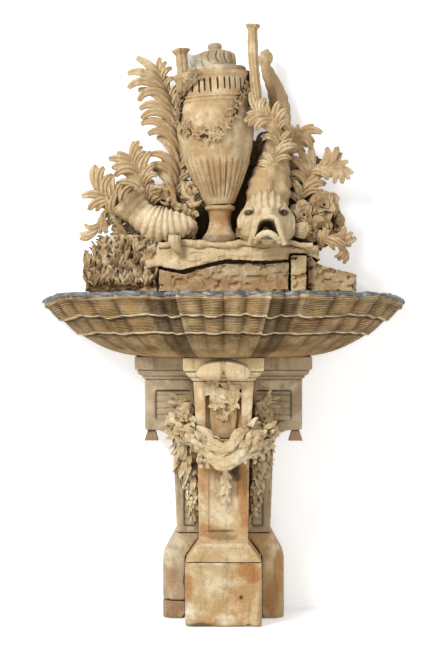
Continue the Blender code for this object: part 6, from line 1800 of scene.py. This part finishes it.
        grid = swept(path, circle(40), rows[:, 3])
        ribs = 1 + 0.06 * np.cos(turns(40) * 9)[None, :, None]
        grid = path[:, None] + (grid - path[:, None]) * ribs
        steps = ((0, 0.8), (6, 0.72), (16, 0.6), (24, 0.3))
        inner = [path[k] + (grid[k] - path[k]) * share for k, share in steps]
        grid = np.concatenate([np.stack(inner[::-1]), grid])
        self.shop.finish("tube_shell", Builder().add(grid), Finish.PALE, nodes=("small_shell",))

    def coral(self) -> None:
        """Coral: knobbly branches, each a tube whose radius swells by noises."""
        core = smooth_rows(((-0.135, 0.115, -0.005, 0.03), (-0.14, 0.125, 0.07, 0.038),
                            (-0.15, 0.135, 0.15, 0.03), (-0.175, 0.15, 0.19, 0.01)), 60)
        lump = swept(line_at(core, BED_TOP), circle(40), core[:, 3])
        builder = Builder().add(wrinkled(lump, 0.016, 36, 4, 9))
        dark = builder.count
        for index, rows in enumerate(self.coral_rows):
            fine = smooth_rows(rows, 70)
            path = line_at(fine, BED_TOP)
            grid = swept(path, circle(32), fine[:, 3])
            swell = 1 + 0.42 * fractal(grid, 70, 3, 50 + index)[..., None]
            builder.add(path[:, None] + (grid - path[:, None]) * swell)
        rng = np.random.default_rng(66)
        trunk = smooth_rows(self.coral_rows[0], 60)
        bough = smooth_rows(self.coral_rows[1], 60)
        for index, row in enumerate(np.vstack([trunk[6::3], bough[4::3]])):
            start = self.local(*row[:3])
            heading = unit(rng.normal(0, 1, 3) * (1, 0.6, 0.6) + (0, -0.7, 0.5))
            bend = unit(heading + rng.normal(0, 0.5, 3))
            length = rng.uniform(0.028, 0.062)
            reach = length * 0.5
            fine = smooth_rows((start, start + heading * reach, start + (heading + bend) * reach), 22)
            thick = 0.0092 * (1.15 - np.linspace(0, 1, 22) ** 3)
            twig = swept(fine, circle(14), thick, np.array((0.3, -1.0, 0.2)))
            builder.add(wrinkled(twig, 0.0035, 80, 3, index))
        # The lump under the branches is painted dark, as shade behind them.
        soot_and_shade = np.where(np.arange(builder.count) < dark, 0.85, 0.0)
        self.shop.finish("knobbly_coral", builder, Finish.LEAF, nodes=("coral_branch",), paint={"soot_and_shade": soot_and_shade})


@dataclass
class Garlands:
    """Cloth and fruit across the pier, leafy drops beside it, leaves in the niche and on the wings."""

    shop: Workshop
    swag: tuple = (
        (-0.17, 0.236, -0.15, 0.028), (-0.152, 0.3, -0.178, 0.046), (-0.112, 0.385, -0.19, 0.05),
        (-0.06, 0.42, -0.232, 0.05), (-0.005, 0.424, -0.262, 0.05), (0.055, 0.418, -0.245, 0.052),
        (0.108, 0.388, -0.196, 0.052), (0.147, 0.305, -0.2, 0.046), (0.16, 0.236, -0.18, 0.028),
    )
    rolls: tuple = (
        (0.015, ((-0.124, 0.385, -0.186), (-0.08, 0.425, -0.176), (-0.038, 0.44, -0.206))),
        (0.019, ((-0.014, 0.452, -0.248), (0.03, 0.455, -0.226), (0.06, 0.442, -0.184),
                 (0.088, 0.415, -0.176))),
        (0.021, ((-0.062, 0.44, -0.262), (-0.012, 0.462, -0.292), (0.034, 0.462, -0.282),
                 (0.07, 0.445, -0.246))),
        (0.015, ((-0.112, 0.4, -0.216), (-0.072, 0.43, -0.25), (-0.03, 0.446, -0.28))),
        (0.012, ((-0.088, 0.425, -0.212), (-0.04, 0.446, -0.236), (0.016, 0.456, -0.258))),
        (0.011, ((-0.066, 0.436, -0.204), (-0.02, 0.45, -0.222), (0.036, 0.456, -0.25))),
    )
    drops: tuple = (
        ("garland_drop_left", ((-0.135, 0.24, -0.085, 0.026), (-0.145, 0.248, -0.17, 0.046),
                               (-0.138, 0.248, -0.28, 0.046), (-0.116, 0.243, -0.38, 0.034),
                               (-0.108, 0.236, -0.525, 0.016)), 91),
        ("garland_drop_right", ((0.135, 0.24, -0.085, 0.026), (0.148, 0.248, -0.17, 0.044),
                                (0.136, 0.248, -0.28, 0.038), (0.122, 0.243, -0.38, 0.03),
                                (0.112, 0.236, -0.5, 0.014)), 92),
    )

    def build(self) -> None:
        """Make every garland and spray."""
        self.cloth()
        for name, rows, seed in self.drops:
            self.drop(name, rows, seed)
        self.rosette()
        self.niche()
        self.sprigs()

    def local(self, x: Array, out: Array, above: Array) -> Array:
        """Point at x across, out from the wall and above the shaft's top."""
        return place(x, out, SHAFT_TOP + above)

    def cloth(self) -> None:
        """Rolled cloth: strands of folds that wind round the swag's line, with fruit and a pendant."""
        builder = Builder()
        rows = smooth_rows(self.swag, 160)
        path = line_at(rows, SHAFT_TOP)
        _, sides, fronts = frames_along(path, unit(np.array((0.0, -1.0, 0.15))))
        t = np.linspace(0, 1, 160)
        builder.add(wrinkled(swept(path, circle(48), rows[:, 3] * 0.62), 0.008, 30, 4, 14))
        for strand in range(12):
            turn = strand * math.pi / 6 + 3.4 * t + 0.6 * np.sin(t * 11 + strand)
            reach = rows[:, 3:4] * (0.66 + 0.1 * np.sin(t * 17 + strand * 2.1))[:, None]
            centre = path + (sides * np.cos(turn)[:, None] + fronts * np.sin(turn)[:, None] * 0.85) * reach
            thick = rows[:, 3] * (0.18 + 0.09 * np.sin(t * 19 + strand * 1.9))
            builder.add(wrinkled(swept(centre, circle(11, 0.8), thick), 0.003, 60, 3, 20 + strand))
        for seed, (radius, roll) in enumerate(self.rolls):
            fine = smooth_rows([(*row, 1.0) for row in roll], 50)
            spine = line_at(fine, SHAFT_TOP)
            swell = radius * (0.3 + 0.78 * np.sin(np.linspace(0.12, math.pi - 0.12, 50)) ** 0.6)
            grid = swept(spine, circle(36), swell, flat=0.62)
            twist = np.linspace(0, 2.2, 50)[:, None] + turns(36) * 5
            pleat = np.abs(np.cos(0.5 * twist + seed))[..., None] ** 0.5
            grid = spine[:, None] + (grid - spine[:, None]) * (0.72 + 0.38 * pleat)
            builder.add(wrinkled(grid, 0.006, 40, 3, 60 + seed))
        rng = np.random.default_rng(5)
        fruit = np.concatenate([
            self.local(rng.uniform(0.075, 0.152, 40), rng.uniform(0, 1, 40),
                       rng.uniform(-0.29, -0.19, 40)),
            self.local(rng.uniform(-0.092, -0.04, 14), rng.uniform(0, 1, 14),
                       rng.uniform(-0.305, -0.255, 14)),
        ])
        limit = np.interp(fruit[:, 0], (-0.1, 0.05, 0.1, 0.15), (0.44, 0.455, 0.43, 0.35))
        fruit[:, 1] = WALL_Y - limit - rng.uniform(-0.012, 0.004, len(fruit))
        builder.add(Vase.pebbles(fruit, rng.uniform(0.007, 0.0115, len(fruit)), 40))
        count = 150
        at = np.concatenate([rng.integers(4, 60, count // 2), rng.integers(104, 156, count // 2)])
        turn = rng.uniform(0.1 * math.pi, 0.9 * math.pi, (count, 1))
        slope = unit(np.gradient(path, axis=0))[at] * rng.uniform(-1, 1, (count, 1))
        away = sides[at] * np.cos(turn) + fronts[at] * np.sin(turn)
        builder.add(leaflets(path[at] + away * 0.78 * rows[at, 3:4], away * 0.5 + slope, away,
                             rng.uniform(0.026, 0.044, count), 0.0088, rng.uniform(-1.6, 0.0, count)))
        tail = smooth_rows(((0.006, 0.42, -0.27, 0.02), (0.006, 0.41, -0.34, 0.016),
                            (0.003, 0.402, -0.42, 0.006)), 30)
        path = line_at(tail, SHAFT_TOP)
        builder.add(swept(path, circle(12), tail[:, 3] * 0.6))
        at = rng.integers(0, 28, 26)
        side = rng.choice((-1.0, 1.0), 26)
        along = np.stack([side * rng.uniform(0.3, 0.9, 26), -0.3 + 0 * side, -1 + 0 * side], axis=-1)
        builder.add(leaflets(path[at], along, FRONT, 0.034, 0.0078,
                             rng.uniform(-0.8, 0.2, 26)))
        self.shop.finish("swag_folds", builder, Finish.PALE, nodes=("garland_swag",))

    def drop(self, name: str, rows: tuple, seed: int) -> None:
        """Leafy drop: a lumpy core under overlapping leaves that point down and out."""
        builder = Builder()
        fine = smooth_rows(rows, 90)
        path = line_at(fine, SHAFT_TOP)
        builder.add(wrinkled(swept(path, circle(36), fine[:, 3] * 0.72, flat=0.8), 0.01, 34, 4, seed))
        _, sides, fronts = frames_along(path, FRONT)
        rng = np.random.default_rng(seed)
        count = 150
        at = rng.integers(2, 88, count)
        turn = rng.uniform(-0.1 * math.pi, 1.1 * math.pi, (count, 1))
        away = sides[at] * np.cos(turn) + fronts[at] * np.sin(turn)
        along = away * 0.55 + np.array((0.0, 0.0, -1.0))
        base = path[at] + away * fine[at, 3:4] * 0.62
        size = fine[at, 3] * rng.uniform(0.65, 1.05, count) + 0.006
        builder.add(leaflets(base, along, away, size, size * 0.26, rng.uniform(-1.0, 0.5, count)))
        at = rng.integers(10, 80, 26)
        turn = rng.uniform(0.2, math.pi - 0.2, (26, 1))
        away = sides[at] * np.cos(turn) + fronts[at] * np.sin(turn)
        builder.add(Vase.pebbles(path[at] + away * fine[at, 3:4] * 0.75, rng.uniform(0.006, 0.011, 26), seed))
        self.shop.finish(name + "_leaves", builder, Finish.PALE, nodes=(name,))

    def rosette(self) -> None:
        """Single open flower on the right drop."""
        builder = Builder()
        centre = self.local(0.146, 0.272, -0.345)
        Leaves.rose(builder, centre, 0.031, np.array((0.2, -1.0, 0.0)), 77)
        self.shop.finish("open_rosette", builder, Finish.PALE, nodes=("rosette_right",))

    def niche(self) -> None:
        """Oak leaves in two bunches, smaller bunches under them and a hanging leaf, on the tablet."""
        builder = Builder()
        rng = np.random.default_rng(8)
        bunches = ((-0.034, -0.03, 22, 0.044), (0.034, -0.03, 22, 0.044), (-0.026, -0.08, 12, 0.034),
                   (0.038, -0.078, 12, 0.036), (0.0, -0.065, 12, 0.036), (0.0, -0.125, 10, 0.03))
        for x, above, count, size in bunches:
            turn = rng.uniform(0, 2 * math.pi, count)
            along = np.stack([np.cos(turn), -0.3 + 0 * turn, np.sin(turn) - 0.35], axis=-1)
            spots = self.local(x + rng.uniform(-0.3, 0.3, count) * size, 0.386 + rng.uniform(0, 0.006, count),
                               above + rng.uniform(-0.3, 0.3, count) * size)
            builder.add(leaflets(spots, along, FRONT, size * rng.uniform(0.7, 1, count), size * 0.21,
                                 rng.uniform(-1.1, 0.1, count)))
        self.shop.finish("niche_leaves", builder, Finish.PALE, nodes=("oak_spray",))

    def sprigs(self) -> None:
        """Narrow leaves on the wings' sunk fields, beside the tops of the drops."""
        for hand, side in (("left", -1), ("right", 1)):
            builder = Builder()
            rng = np.random.default_rng(12 + side)
            count = 16
            along = np.stack([side * rng.uniform(0.2, 1.0, count), -0.22 + 0 * rng.uniform(0, 1, count),
                              rng.uniform(-0.9, 0.5, count)], axis=-1)
            spots = self.local(side * rng.uniform(0.135, 0.175, count), 0.228 + rng.uniform(0, 0.006, count),
                               rng.uniform(-0.115, -0.065, count))
            builder.add(leaflets(spots, along, FRONT, 0.04, 0.0062,
                                 rng.uniform(-0.8, 0.2, count)))
            self.shop.finish("sprig_" + hand, builder, Finish.PALE)


def main() -> None:
    """Build, dress and light the fountain."""
    logging.basicConfig(level=logging.INFO, format="%(message)s")
    shop = Workshop()
    for part in (Pedestal, ShellBasin, Rockwork, Leaves, Vase, SeaCreatures, Garlands):
        part(shop).build()
    for node, look in (("waste_outlet", Finish.BRASS), ("overflow_standpipe", Finish.BRASS),
                       ("spout_nozzle", Finish.BRASS), ("waste_pipe", Finish.LEAD),
                       ("supply_pipe", Finish.COPPER), ("vase_dowel", Finish.IRON)):
        shop.dress(node, look)
    stage_and_camera()


if __name__ == "__main__":
    main()
